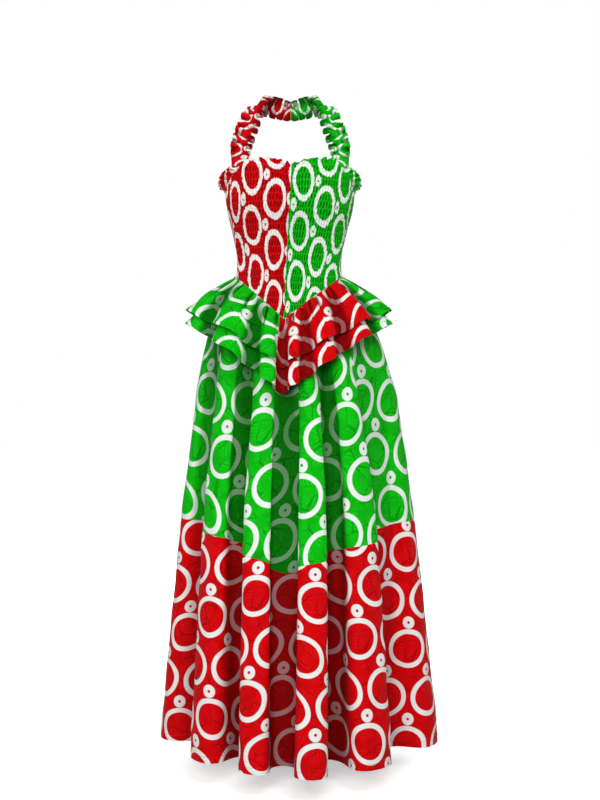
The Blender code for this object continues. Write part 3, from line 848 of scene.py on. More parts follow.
class ThreadWork:
    """Stitches that follow lines on the cloth, laid by one geometry nodes tree."""

    def __init__(self) -> None:
        """Builds the tree, which lays one short rod for each stitch along every line."""
        self.tree = bpy.data.node_groups.new("stitches", "GeometryNodeTree")
        self.socket("Geometry", "INPUT", "Geometry")
        for size, value in (("Pitch", STITCH_PITCH), ("Stitch", 0.0021), ("Radius", 0.0003)):
            self.socket(size, "INPUT", "Float").default_value = value
        self.socket("Material", "INPUT", "Material")
        self.socket("Geometry", "OUTPUT", "Geometry")
        nodes = Nodes(self.tree)
        source = nodes.add("NodeGroupInput").outputs
        curve = nodes.add("GeometryNodeMeshToCurve", {"Mesh": source["Geometry"]})
        spacing = {"Curve": curve.outputs["Curve"], "Length": source["Pitch"]}
        spaced = nodes.add("GeometryNodeResampleCurve", spacing, mode="LENGTH")
        rod_sizes = {"Vertices": 5, "Radius": source["Radius"], "Depth": source["Stitch"]}
        rod = nodes.add("GeometryNodeMeshCylinder", rod_sizes, fill_type="NGON")
        tangent = nodes.add("GeometryNodeInputTangent").outputs[0]
        aim = nodes.add("FunctionNodeAlignRotationToVector", {"Vector": tangent}, axis="Z")
        laid = nodes.add("GeometryNodeInstanceOnPoints", {
            "Points": spaced.outputs["Curve"], "Instance": rod.outputs["Mesh"], "Rotation": aim.outputs[0],
        })
        real = nodes.add("GeometryNodeRealizeInstances", {"Geometry": laid.outputs["Instances"]})
        dressing = {"Geometry": real.outputs["Geometry"], "Material": source["Material"]}
        dressed = nodes.add("GeometryNodeSetMaterial", dressing)
        nodes.add("NodeGroupOutput", {"Geometry": dressed.outputs["Geometry"]})

    def socket(self, name: str, direction: str, kind: str) -> bpy.types.NodeTreeInterfaceSocket:
        """Gives the tree an input or output."""
        return self.tree.interface.new_socket(name, in_out=direction, socket_type=f"NodeSocket{kind}")

    def sew(self, name: str, lines: Sequence[np.ndarray], finish: bpy.types.Material, slot: Cloth,
            pitch: float) -> bpy.types.Object:
        """Sews along lines and keeps the stitches as one plain mesh.

        Args:
            name: the piece's name.
            lines: the points of each line.
            finish: the thread's material.
            slot: the colour of the cloth under it; not used.
            pitch: from stitch to stitch.

        Returns:
            The new object.
        """
        points, edges = [], []
        for line in lines:
            edges.extend((i, i + 1) for i in range(len(points), len(points) + len(line) - 1))
            points.extend(line.tolist())
        guide_mesh = bpy.data.meshes.new(f"{name}_guide")
        guide_mesh.from_pydata(points, edges, [])
        guide = add_object(f"{name}_guide", guide_mesh)
        modifier = guide.modifiers.new("Threads", "NODES")
        modifier.node_group = self.tree
        sockets = {item.name: item.identifier for item in self.tree.interface.items_tree
                   if item.item_type == "SOCKET" and item.in_out == "INPUT"}
        for size, value in (("Pitch", pitch), ("Stitch", STITCH_SHARE * pitch), ("Material", finish)):
            modifier[sockets[size]] = value
        evaluated = guide.evaluated_get(bpy.context.evaluated_depsgraph_get())
        mesh = bpy.data.meshes.new_from_object(evaluated)
        mesh.name = name
        bpy.data.objects.remove(guide)
        bpy.data.meshes.remove(guide_mesh)
        piece = add_object(name, mesh)
        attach(piece, "root")
        return piece


@dataclass
class SewnPiece:
    """What every part of the dress shares: its finishes, its stitches and how its cloth is built."""

    wardrobe: Wardrobe
    threads: ThreadWork

    def hand_in(self, wall: ClothWall, node: str, slot: Cloth, seam: str = "",
                lines: Sequence[np.ndarray] = (), pitch: float = STITCH_PITCH, held: str = "gathered",
                shirred: bool = False) -> None:
        """Builds a wall with its stitches, hides the CAD node that it stands for, and logs the size of its
        cut.

        Args:
            wall: the cloth.
            node: the CAD node.
            slot: the cloth's colour, which picks its finish.
            seam: what the stitches sew, where there are any.
            lines: the lines of stitches.
            pitch: from stitch to stitch.
            held: how the cloth is held; not used.
            shirred: whether its print is drawn together.
        """
        piece = wall.build((self.wardrobe.shirred if shirred else self.wardrobe.flat)[slot])
        thread = self.wardrobe.thread[slot]
        stitches = [self.threads.sew(f"{node}_{seam}_stitches", lines, thread, slot, pitch)] if seam else []
        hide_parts(node)
        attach(piece, "root")
        along, down, area = wall.cut()
        LOG.info("%s: %.3f by %.3f m, %.4f square metres, %d faces", piece.name, along, down, area,
                 len(piece.data.polygons))


# Bodice


class Quarter(NamedTuple):
    """A quarter of the bodice: side is -1 at -X and 1 at +X, and one ring's middle is at ring_x, ring_z."""

    node: str
    side: int
    front: bool
    slot: Cloth
    seed: int
    ring_x: float
    ring_z: float


QUARTERS = (
    Quarter("bodice_front_red", -1, True, Cloth.RED, 11, -0.0919, -0.1777),
    Quarter("bodice_front_green", 1, True, Cloth.GREEN, 23, 0.0242, -0.1928),
    Quarter("bodice_back_green", -1, False, Cloth.GREEN, 37, 0.02, -0.26),
    Quarter("bodice_back_red", 1, False, Cloth.RED, 41, -0.02, -0.24),
)
FRONT_SEAM = float(angle_at(rings_at(TORSO, FRONT_TIP_Z), FRONT_TIP_X))


@dataclass
class Bodice(SewnPiece):
    """Four shirred quarters: rows of elastic, puffs between them, and gathers that cross each puff.

    The gathers lean by up to gather_lean radians over a puff, and the elastic holds them over gather_hold of
    it at either end. squeeze and stretch say how the cloth's print is drawn together.
    """

    thickness: float = 0.0020
    columns: int = 190
    rows: int = 170
    row_pitch: float = 0.0034
    puff: float = 0.0014
    puff_power: float = 0.6
    gather: float = 0.0030
    gather_pitch: float = 0.0072
    gather_power: float = 0.75
    gather_lean: float = 1.75
    gather_hold: float = 0.18
    gather_rows: int = 64
    rows_above: int = 8
    wander: float = 1.5
    wander_pitch: float = 0.045
    blotch_pitch: float = 0.020
    heading_depth: float = 0.55
    heading_wave: float = 0.0040
    heading_pitch: float = 0.0125
    heading_rise: float = 0.0036
    rise_pitch: float = 0.021
    dip: float = 0.013
    dip_x: float = -0.002
    dip_width: float = 0.026
    dip_fade: float = 0.100
    squeeze: float = 0.52
    stretch: float = 1.08
    edge_steps: int = 14

    def smooth_point(self, quarter: Quarter, share: np.ndarray, height: np.ndarray) -> np.ndarray:
        """The quarter without its shirring.

        Args:
            quarter: which quarter.
            share: the share of the way from the centre seam to the side seam.
            height: each point's height.

        Returns:
            The points.
        """
        if quarter.front:
            down = (FRONT_TOP - height) / (FRONT_TOP - FRONT_TIP_Z)
            seam = mix(CENTRE_SEAM_TOP_ANGLE, FRONT_SEAM, down)
        else:
            seam = 2 * QUARTER_TURN
        outer = quarter.side * QUARTER_TURN if quarter.front or quarter.side > 0 else 3 * QUARTER_TURN
        return on_torso(mix(seam, outer, share), height)

    def dip_at(self, x: np.ndarray) -> np.ndarray:
        """How far the front's top edge dips at its middle."""
        return self.dip * np.exp(-(((x - self.dip_x) / self.dip_width) ** 2))

    def edges(self, quarter: Quarter, share: np.ndarray) -> tuple[np.ndarray, np.ndarray]:
        """The heights of the quarter's top and bottom edges, by repeated approach.

        Args:
            quarter: which quarter.
            share: the share of the way from the centre seam, for each column.

        Returns:
            The heights at the top and at the bottom.
        """
        top = np.full(share.shape, FRONT_TOP if quarter.front else BACK_TOP)
        bottom = np.full(share.shape, WAIST_SIDE)
        upper, foot = armhole(quarter.side)
        for _ in range(self.edge_steps):
            bottom = waist_line(self.smooth_point(quarter, share, bottom)[..., 0], quarter.front)
            if quarter.front:
                x = self.smooth_point(quarter, share, top)[..., 0]
                down = np.clip((x - upper[0]) / (foot[0] - upper[0]), 0.0, 1.0)
                top = mix(FRONT_TOP - self.dip_at(x), ARMHOLE_LOW, down)
        return top, bottom

    def shirring(self, arc: np.ndarray, height: np.ndarray, top: float,
                 seed: int) -> tuple[np.ndarray, np.ndarray]:
        """The relief of the shirring, and the shade painted into its gathers.

        Args:
            arc: the distance from the centre seam along the body.
            height: each point's height.
            top: the height of the quarter's top edge.
            seed: picks the gathers.

        Returns:
            The relief in metres, and the shade painted into each furrow, from 0 to 1.
        """
        place = (top - HEADING - height) / RIB_PITCH
        row = np.floor(place)
        share = place - row
        chance = np.random.default_rng(seed)
        phases = chance.uniform(0, TURN, self.gather_rows)
        leans = self.gather_lean * (1 + 0.8 * chance.uniform(-1, 1, self.gather_rows))
        number = np.clip(row.astype(int) + self.rows_above, 0, self.gather_rows - 1)
        wander = self.wander * uneven(arc / self.wander_pitch, place / 6, seed=seed + 1)
        turn = TURN * arc / self.gather_pitch + phases[number] + leans[number] * share + wander
        furrow = 1 - (0.5 + 0.5 * np.cos(turn)) ** self.gather_power
        held = ease(share / self.gather_hold) * ease((1 - share) / self.gather_hold)
        below = row >= 0
        puffed = np.where(below, np.sin(math.pi * np.clip(share, 0, 1)) ** self.puff_power, 0.0)
        depth = np.where(below, held, self.heading_depth * ease(-place / 0.2))
        depth = depth * (0.75 + 0.5 * uneven(arc / self.blotch_pitch, place, seed=seed + 2))
        # Painted shade: darker deep in each furrow of the gathers
        painted_shade = np.clip(1.9 * furrow**1.1 * depth - 0.12, 0.0, 1.0)
        return self.puff * puffed - self.gather * furrow * depth, painted_shade

    def build_quarter(self, quarter: Quarter) -> None:
        """Builds and hands in one quarter."""
        share = np.linspace(0, 1, self.columns)
        top, bottom = self.edges(quarter, share)
        height = mix(top, bottom, np.linspace(0, 1, self.rows)[:, None])
        smooth = self.smooth_point(quarter, np.broadcast_to(share, height.shape), height)
        arc = arc_along(smooth) * quarter.side
        edge, level = FRONT_TOP if quarter.front else BACK_TOP, height
        if quarter.front:
            level = height + self.dip_at(smooth[..., 0]) * ease(1 - (edge - height) / self.dip_fade)
        relief, painted_shade = self.shirring(arc, level, edge, quarter.seed)
        flare = ease((level - (edge - HEADING)) / HEADING)
        wave = np.sin(TURN * arc / self.heading_pitch + 1.3 * uneven(arc / 0.05, seed=quarter.seed))
        relief = relief + self.heading_wave * flare * (0.4 + wave)
        points = smooth + relief[..., None] * from_axis(smooth)
        rise = uneven(arc / self.rise_pitch, seed=quarter.seed + 3, waves=3)
        points[..., 2] += self.heading_rise * flare * rise
        trim_sides(points, smooth)

        off = (smooth[..., 0] - quarter.ring_x) ** 2 + (smooth[..., 2] - quarter.ring_z) ** 2
        near = np.argmin(off)
        along = arc if quarter.front else -arc
        cloth = place_of((height.flat[near] - height) / self.stretch,
                         (along - along.flat[near]) / self.squeeze)
        runs_left = (quarter.side < 0) == quarter.front
        points, cloth, painted_shade, height = turned(runs_left, points, cloth, painted_shade, height)
        title = quarter.node.replace("bodice", "shirred")
        wall = ClothWall(title, points, *unbroken(cloth), self.thickness, painted_shade)
        levels = np.arange(edge - HEADING, height.min(), -RIB_PITCH)
        lines = [level_line(points, height, level) for level in levels]
        self.hand_in(wall, quarter.node, quarter.slot, "row", [line[2:-2] for line in lines if len(line) > 4],
                     self.row_pitch, shirred=True)

    def build(self) -> None:
        """Builds the four quarters, their colours changed over from front to back."""
        for quarter in QUARTERS:
            self.build_quarter(quarter)
        LOG.info("bodice done")


# Straps and frills


@dataclass
class Straps(SewnPiece):
    """A strap on each side: a gathered casing with a ruffle on both edges, joined at the nape.

    Places are counted in rows of the table from the nape, and the strap is tucked into the bodice between the
    two places of tuck.
    """

    thickness: float = 0.0012
    across_columns: int = 33
    steps_per_row: int = 40
    casing: float = 0.0025
    casing_gather: float = 0.0012
    wave: float = 0.0095
    curl: float = 0.0042
    pull: float = 0.0035
    fullness: float = 2.8
    print_width: float = 1.5
    row_length: float = 0.038
    waves_per_row: float = 2.0
    nape_row: int = 1
    centre_x: float = -0.0057
    inset: float = 0.0034
    tuck: tuple[float, float] = (7.1, 8.0)
    step: float = 5e-3

    def surface(self, side: int, across: np.ndarray, place: np.ndarray) -> tuple[np.ndarray, np.ndarray]:
        """The outside of a strap.

        Args:
            side: -1 at -X and 1 at +X.
            across: from -1 at the inner edge to 1 at the outer one.
            place: rows of the table from the nape.

        Returns:
            The points, and the shade painted between two waves, from 0 to 1.
        """
        table = np.array(STRAP)
        row = on_curve(table, place)
        down = (on_curve(table, place + self.step) - on_curve(table, place - self.step))[..., :3]
        outer_edge = unit(np.cross(row[..., 3:6], down))
        face = unit(np.cross(down, outer_edge))
        half_width = row[..., 6]
        offset = across * half_width
        loose = np.maximum(np.abs(offset) - self.casing, 0.0) / (half_width - self.casing)
        turn = TURN * self.waves_per_row * place + np.where(across > 0, 0.0, math.pi)
        turn = turn + 0.7 * uneven(place / 1.3, seed=5 + side) * ease((place - 1) / 0.8)
        free = 1 - ease((place - self.tuck[0]) / (self.tuck[1] - self.tuck[0]))
        lift = self.wave * loose**0.55 * (np.cos(turn) + 0.25)
        lift = (lift + self.casing_gather * np.cos(2.4 * turn) * (1 - loose)) * mix(0.35, 1.0, free)
        curled = self.curl * loose**1.5 * np.sin(2 * turn) * ease((place - 1) / 0.3)
        pulled = offset - np.sign(across) * self.pull * loose * (1 + np.cos(turn))
        # Painted shade: darker in the troughs between the ruffle's waves
        painted_shade = loose**0.4 * ease((0.35 - np.cos(turn)) / 1.2)
        hanging = (row[..., :3] + pulled[..., None] * outer_edge + lift[..., None] * face
                   + curled[..., None] * unit(down))
        hanging[..., 0] = self.centre_x + side * hanging[..., 0]
        ring = rings_at(TORSO, np.minimum(row[..., 2], FRONT_TOP))
        middle = angle_at(ring, self.centre_x + side * row[..., 0])
        angle = middle + side * offset / reach(ring, middle)
        tucked = ring_point(ring, angle, reach(ring, angle) - self.inset, row[..., 2])
        return mix(tucked, hanging, free[..., None]), painted_shade * free

    def build(self) -> None:
        """Builds both straps."""
        last = len(STRAP) - 1
        count = (last - self.nape_row) * self.steps_per_row + 1
        places = np.linspace(self.nape_row + 0.004, last, count)
        place, across = np.meshgrid(places, np.linspace(-1, 1, self.across_columns), indexing="ij")
        middle = self.across_columns // 2
        for node, side, slot in (("strap_red", -1, Cloth.RED), ("strap_green", 1, Cloth.GREEN)):
            points, painted_shade = self.surface(side, across, place)
            cloth = place_of(self.print_width * across * np.array(STRAP)[:, 6].mean() + 0.02,
                             -self.fullness * self.row_length * place)
            points, cloth, painted_shade = turned(side < 0, points, cloth, painted_shade)
            wall = ClothWall(f"ruffled_{node}", points, *unbroken(cloth), self.thickness, painted_shade)
            lines = [wall.lifted()[8:-8, middle + k] for k in (-3, 3)]
            self.hand_in(wall, node, slot, "casing", lines)
        LOG.info("straps done")


@dataclass
class ArmholeFrills(SewnPiece):
    """A gathered frill that stands out from each armhole edge, widest at the middle of its length."""

    thickness: float = 0.0012
    columns: int = 150
    rows: int = 14
    start: float = 0.30
    width: float = 0.024
    least: float = 0.35
    taper: tuple[float, float] = (0.06, 0.86)
    waves: float = 5.0
    wave: float = 0.0055
    curl: float = 0.003
    clear: float = 0.0012
    under: float = 0.001

    def surface(self, side: int) -> np.ndarray:
        """The outside of a frill: side is -1 at -X and 1 at +X."""
        share, width_share = np.meshgrid(np.linspace(0, 1, self.columns), np.linspace(0, 1, self.rows))
        upper, foot = armhole(side)
        run = mix(upper, foot, mix(self.start, 1.0, share)[..., None])
        here = on_torso(angle_at(rings_at(TORSO, run[..., 1]), run[..., 0]), run[..., 1], self.under)
        edge = foot - upper
        upward = unit(np.array((-side * edge[1], 0.0, side * edge[0])))
        travel = unit(np.array((edge[0], 0.0, edge[1])))
        reaching = unit(0.75 * from_axis(here) + 0.65 * upward)
        width = self.width * mix(self.least, 1.0, np.sin(math.pi * mix(*self.taper, share)))
        turn = TURN * self.waves * share
        wave = self.wave * width_share * np.sin(turn)
        curl = self.curl * width_share**2 * np.sin(2 * turn)
        return (here + self.clear * upward + (width_share * width)[..., None] * reaching
                + wave[..., None] * unit(np.cross(travel, reaching)) + curl[..., None] * travel)

    def build(self) -> None:
        """Builds both frills."""
        frills = (("armhole_frill_red", -1, Cloth.RED), ("armhole_frill_green", 1, Cloth.GREEN))
        for node, side, slot in frills:
            points = self.surface(side)
            cloth = place_of(arc_along(points) + 0.02, 0.03 - arc_down(points))
            points, cloth = turned(side > 0, points, cloth)
            wall = ClothWall(f"gathered_{node}", points, *unbroken(cloth), self.thickness)
            self.hand_in(wall, node, slot)
        LOG.info("armhole frills done")


# Peplum


class TierCut(NamedTuple):
    """A tier of the peplum: its start at the seam, and its length and slopes at the sides and in front."""

    out: float
    drop: float
    side_length: float
    side_start: float
    side_end: float
    front_length: float
    front_start: float
    front_end: float


TIERS = {
    "upper": TierCut(0.0036, 0.0, 0.128, 36, 56, 0.132, 45, 75),
    "lower": TierCut(0.0028, 0.0036, 0.146, 43, 62, 0.180, 53, 82),
}
PEPLUM_SEAMS = (-QUARTER_TURN, math.radians(-11), math.radians(66), 2 * QUARTER_TURN, 3 * QUARTER_TURN)
# Where each run of waves starts: at a seam, but in front in the valley beside it
WAVE_STARTS = (-QUARTER_TURN, math.radians(-6.5), *PEPLUM_SEAMS[2:])
PEPLUM_QUARTERS = {
    "front_green": Cloth.GREEN,
    "front_red": Cloth.RED,
    "back_green": Cloth.GREEN,
    "back_red": Cloth.RED,
}


@dataclass
class Peplum(SewnPiece):
    """Two flared tiers in four quarters, gathered into the waist seam and hemmed.

    waves holds the waves of each quarter, and overhang how far their flanks lean over the valleys, as a share
    of a wave. Each quarter has short pleats at the seam, of uneven length and depth.
    """

    thickness: float = 0.0014
    columns: int = 150
    rows: int = 44
    waves: tuple[int, ...] = (3, 3, 4, 4)
    wave_depth: float = 0.030
    wave_unevenness: float = 0.035
    overhang: float = 0.06
    overhang_full: float = 0.18
    hem: float = 0.012
    hem_turn: float = 0.0005
    hem_share: float = 0.08
    soft: float = 0.0022
    pleat: float = 0.007
    pleat_count: int = 8
    pleat_jitter: float = 0.035
    pleat_lengths: tuple[float, float] = (0.045, 0.095)
    pleat_spread: tuple[float, float] = (0.012, 0.024)
    shade: float = 0.95
    step: float = 1e-4

    def wave_at(self, angle: np.ndarray) -> tuple[np.ndarray, np.ndarray]:
        """The waves at each angle, from 0 between them to 1 on a crest, and how far round they lean."""
        starts, counts = np.array(WAVE_STARTS), np.array(self.waves)
        run = np.clip(np.searchsorted(starts, angle, side="right") - 1, 0, 3)
        width = starts[run + 1] - starts[run]
        share = (angle - starts[run]) / width
        waves = counts[run] * (share + self.wave_unevenness * np.sin(TURN * share))
        return swell(waves), self.overhang * width / counts[run] * np.sin(2 * TURN * waves)

    def pleats(self, angle: np.ndarray, quarter: int, run: np.ndarray, seed: int) -> np.ndarray:
        """Short narrow pleats at the seam.

        Args:
            angle: the angle from the front.
            quarter: which quarter.
            run: the length of cloth above each point.
            seed: picks the pleats.

        Returns:
            How far in each point is drawn, as a share of a whole pleat.
        """
        share = (angle - PEPLUM_SEAMS[quarter]) / (PEPLUM_SEAMS[quarter + 1] - PEPLUM_SEAMS[quarter])
        chance = np.random.default_rng(seed)
        depth = np.zeros(angle.shape)
        jitter = chance.uniform(-self.pleat_jitter, self.pleat_jitter, self.pleat_count)
        for place in np.linspace(0.07, 0.93, self.pleat_count) + jitter:
            length = chance.uniform(*self.pleat_lengths)
            spread = mix(*self.pleat_spread, np.clip(run / length, 0, 1))
            fade = (1 - ease(run / length)) * ease(run / 0.003)
            depth += chance.uniform(0.7, 1.0) * np.exp(-((share - place) / spread) ** 2) * fade
        return depth

    def surface(self, tier: TierCut, quarter: int, angle: np.ndarray, share: np.ndarray,
                seed: int) -> tuple[np.ndarray, np.ndarray]:
        """The outside of a tier, with the shade painted into its pleats and valleys.

        Args:
            tier: the tier's cut.
            quarter: which quarter.
            angle: the angle from the front.
            share: the share of the way down.
            seed: picks the pleats.

        Returns:
            The points and the painted shade.
        """
        height = waist_height(angle)
        here = on_torso(angle, height)
        tangent = unit(on_torso(angle + self.step, height) - here)
        outward = place_of(tangent[..., 1], -tangent[..., 0], 0.0)
        frontal = np.cos(angle) ** 2
        first = np.radians(mix(tier.side_start, tier.front_start, frontal))
        last = np.radians(mix(tier.side_end, tier.front_end, frontal))
        slope = mix(first, last, share)
        chord = mix(first, slope, 0.5)
        length = mix(tier.side_length, tier.front_length, frontal)
        run = share * length
        pleats = self.pleats(angle, quarter, run, seed)
        soft = self.soft * uneven(angle * 2.2, share * 1.4, seed=seed + 7) * share
        turned_up = self.hem_turn * ease((run - (length - self.hem)) / 0.0012)
        crest, lean = self.wave_at(angle)
        wave = self.wave_depth * share * crest + soft + turned_up - self.pleat * pleats
        out = tier.out + run * np.cos(chord) + wave * np.sin(slope)
        radius = reach(rings_at(TORSO, height), angle)
        round_by = lean * ease(run / self.overhang_full) * (radius + out)
        points = here + out[..., None] * outward + round_by[..., None] * tangent
        points[..., 2] += wave * np.cos(slope) - tier.drop - run * np.sin(chord)
        # Painted shade: darker in the valleys between waves and in the pleats at the seam
        valley = ease((0.50 - crest) / 0.42) * mix(0.4, 1.0, ease(share / 0.4))
        return points, np.maximum(np.minimum(2.4 * pleats, 1.0), self.shade * valley)

    def build(self) -> None:
        """Builds both tiers, quarter by quarter."""
        for level, (tier_name, tier) in enumerate(TIERS.items()):
            for i, (quarter, slot) in enumerate(PEPLUM_QUARTERS.items()):
                angle, share = np.meshgrid(np.linspace(*PEPLUM_SEAMS[i:i + 2], self.columns),
                                           np.linspace(0, 1, self.rows))
                points, painted_shade = self.surface(tier, i, angle, share, 100 + 10 * i)
                seam = waist_line(points[0, :, 0], np.cos(angle[0]) > 0)
                points[0, :, 2] = seam - WAIST_GAP - tier.drop
                trim_sides(points, points)
                arc = arc_along(points)
                cloth = place_of(arc - arc[:, -1:] / 2 + 0.03 * i, 0.02 + 0.05 * level - arc_down(points))
                node = f"peplum_{tier_name}_{quarter}"
                wall = ClothWall(f"{node}_cloth", points, *unbroken(cloth), self.thickness, painted_shade)
                hem_row = int(self.rows * (1 - self.hem_share))
                self.hand_in(wall, node, slot, "hem", [wall.lifted()[hem_row, 1:-1]])
        LOG.info("peplum done")


# Skirt


class Fold(NamedTuple):
    """A ridge of the skirt and the valley after it: angles from the front at waist and hem, and reaches.

    shade is how dark the painted shade in the valley is.
    """

    ridge_top: float
    ridge_hem: float
    ridge_reach: float
    valley_top: float
    valley_hem: float
    valley_reach: float
    shade: float = 1.0


FOLDS = (
    Fold(-90, -104, 1.03, -74, -72, 0.62, 0.7),
    Fold(-56, -50, 0.90, -42, -37, 0.57),
    Fold(-28, -20, 0.95, math.degrees(FRONT_SEAM), -8, 0.69),
    Fold(13, 5, 1.03, 26, 20, 0.57),
    Fold(37, 33, 0.94, 58, 58, 0.64, 0.18),
    Fold(90, 95, 1.01, 103, 108, 0.68, 0.8),
    Fold(117, 120, 0.96, 132, 134, 0.62),
    Fold(148, 149, 0.98, 164, 164, 0.66),
    Fold(180, 180, 1.00, 196, 195, 0.60),
    Fold(211, 209, 0.96, 226, 221, 0.65),
    Fold(242, 234, 0.97, 256, 245, 0.68, 0.8),
)
# What one turn round the dress adds to each value of a fold
WHOLE_TURN = Fold(360, 360, 0, 360, 360, 0, 0)


class PrintAnchor(NamedTuple):
    """One ring on a fold: its share of the fold from the ridge, its height, and how the grain leans.

    The share runs from -0.5 to 0.5 across the fold, and the lean is metres to +X for each metre down.
    """

    share: float
    height: float
    lean: float = 0.0


# The front folds' rings, by the number of the fold from the side seam at -X
UPPER_PRINT = (
    PrintAnchor(0.115, -0.789, 0.12),
    PrintAnchor(-0.019, -0.447, 0.12),
    PrintAnchor(0.015, -0.751, -0.16),
    PrintAnchor(-0.096, -0.891),
    PrintAnchor(-0.385, -0.616),
    PrintAnchor(-0.349, -0.922),
)
LOWER_PRINT = (
    PrintAnchor(0.019, -1.441, 0.08),
    PrintAnchor(-0.077, -1.270),
    PrintAnchor(0.010, -1.104, -0.08),
    PrintAnchor(0.023, -1.115, 0.12),
    PrintAnchor(-0.056, -1.199, 0.09),
    PrintAnchor(-0.234, -1.252),
)


class Panel(NamedTuple):
    """A panel of the skirt: its first and last ridge, its rows, and one ring for each fold that is matched.

    crowding above 1 draws the rows together at the top, and stretch is how much longer than its cut the cloth
    hangs.
    """

    node: str
    first: int
    last: int
    slot: Cloth
    upper: bool
    rows: int
    crowding: float
    stretch: float
    anchors: Sequence[PrintAnchor]


PANELS = (
    Panel("skirt_upper_front", 0, 5, Cloth.GREEN, True, 84, 1.25, 1.10, UPPER_PRINT),
    Panel("skirt_upper_back", 5, 11, Cloth.GREEN, True, 84, 1.25, 1.10, ()),
    Panel("skirt_lower_front", 0, 5, Cloth.RED, False, 76, 1.0, 1.00, LOWER_PRINT),
    Panel("skirt_lower_back", 5, 11, Cloth.RED, False, 76, 1.0, 1.00, ()),
)


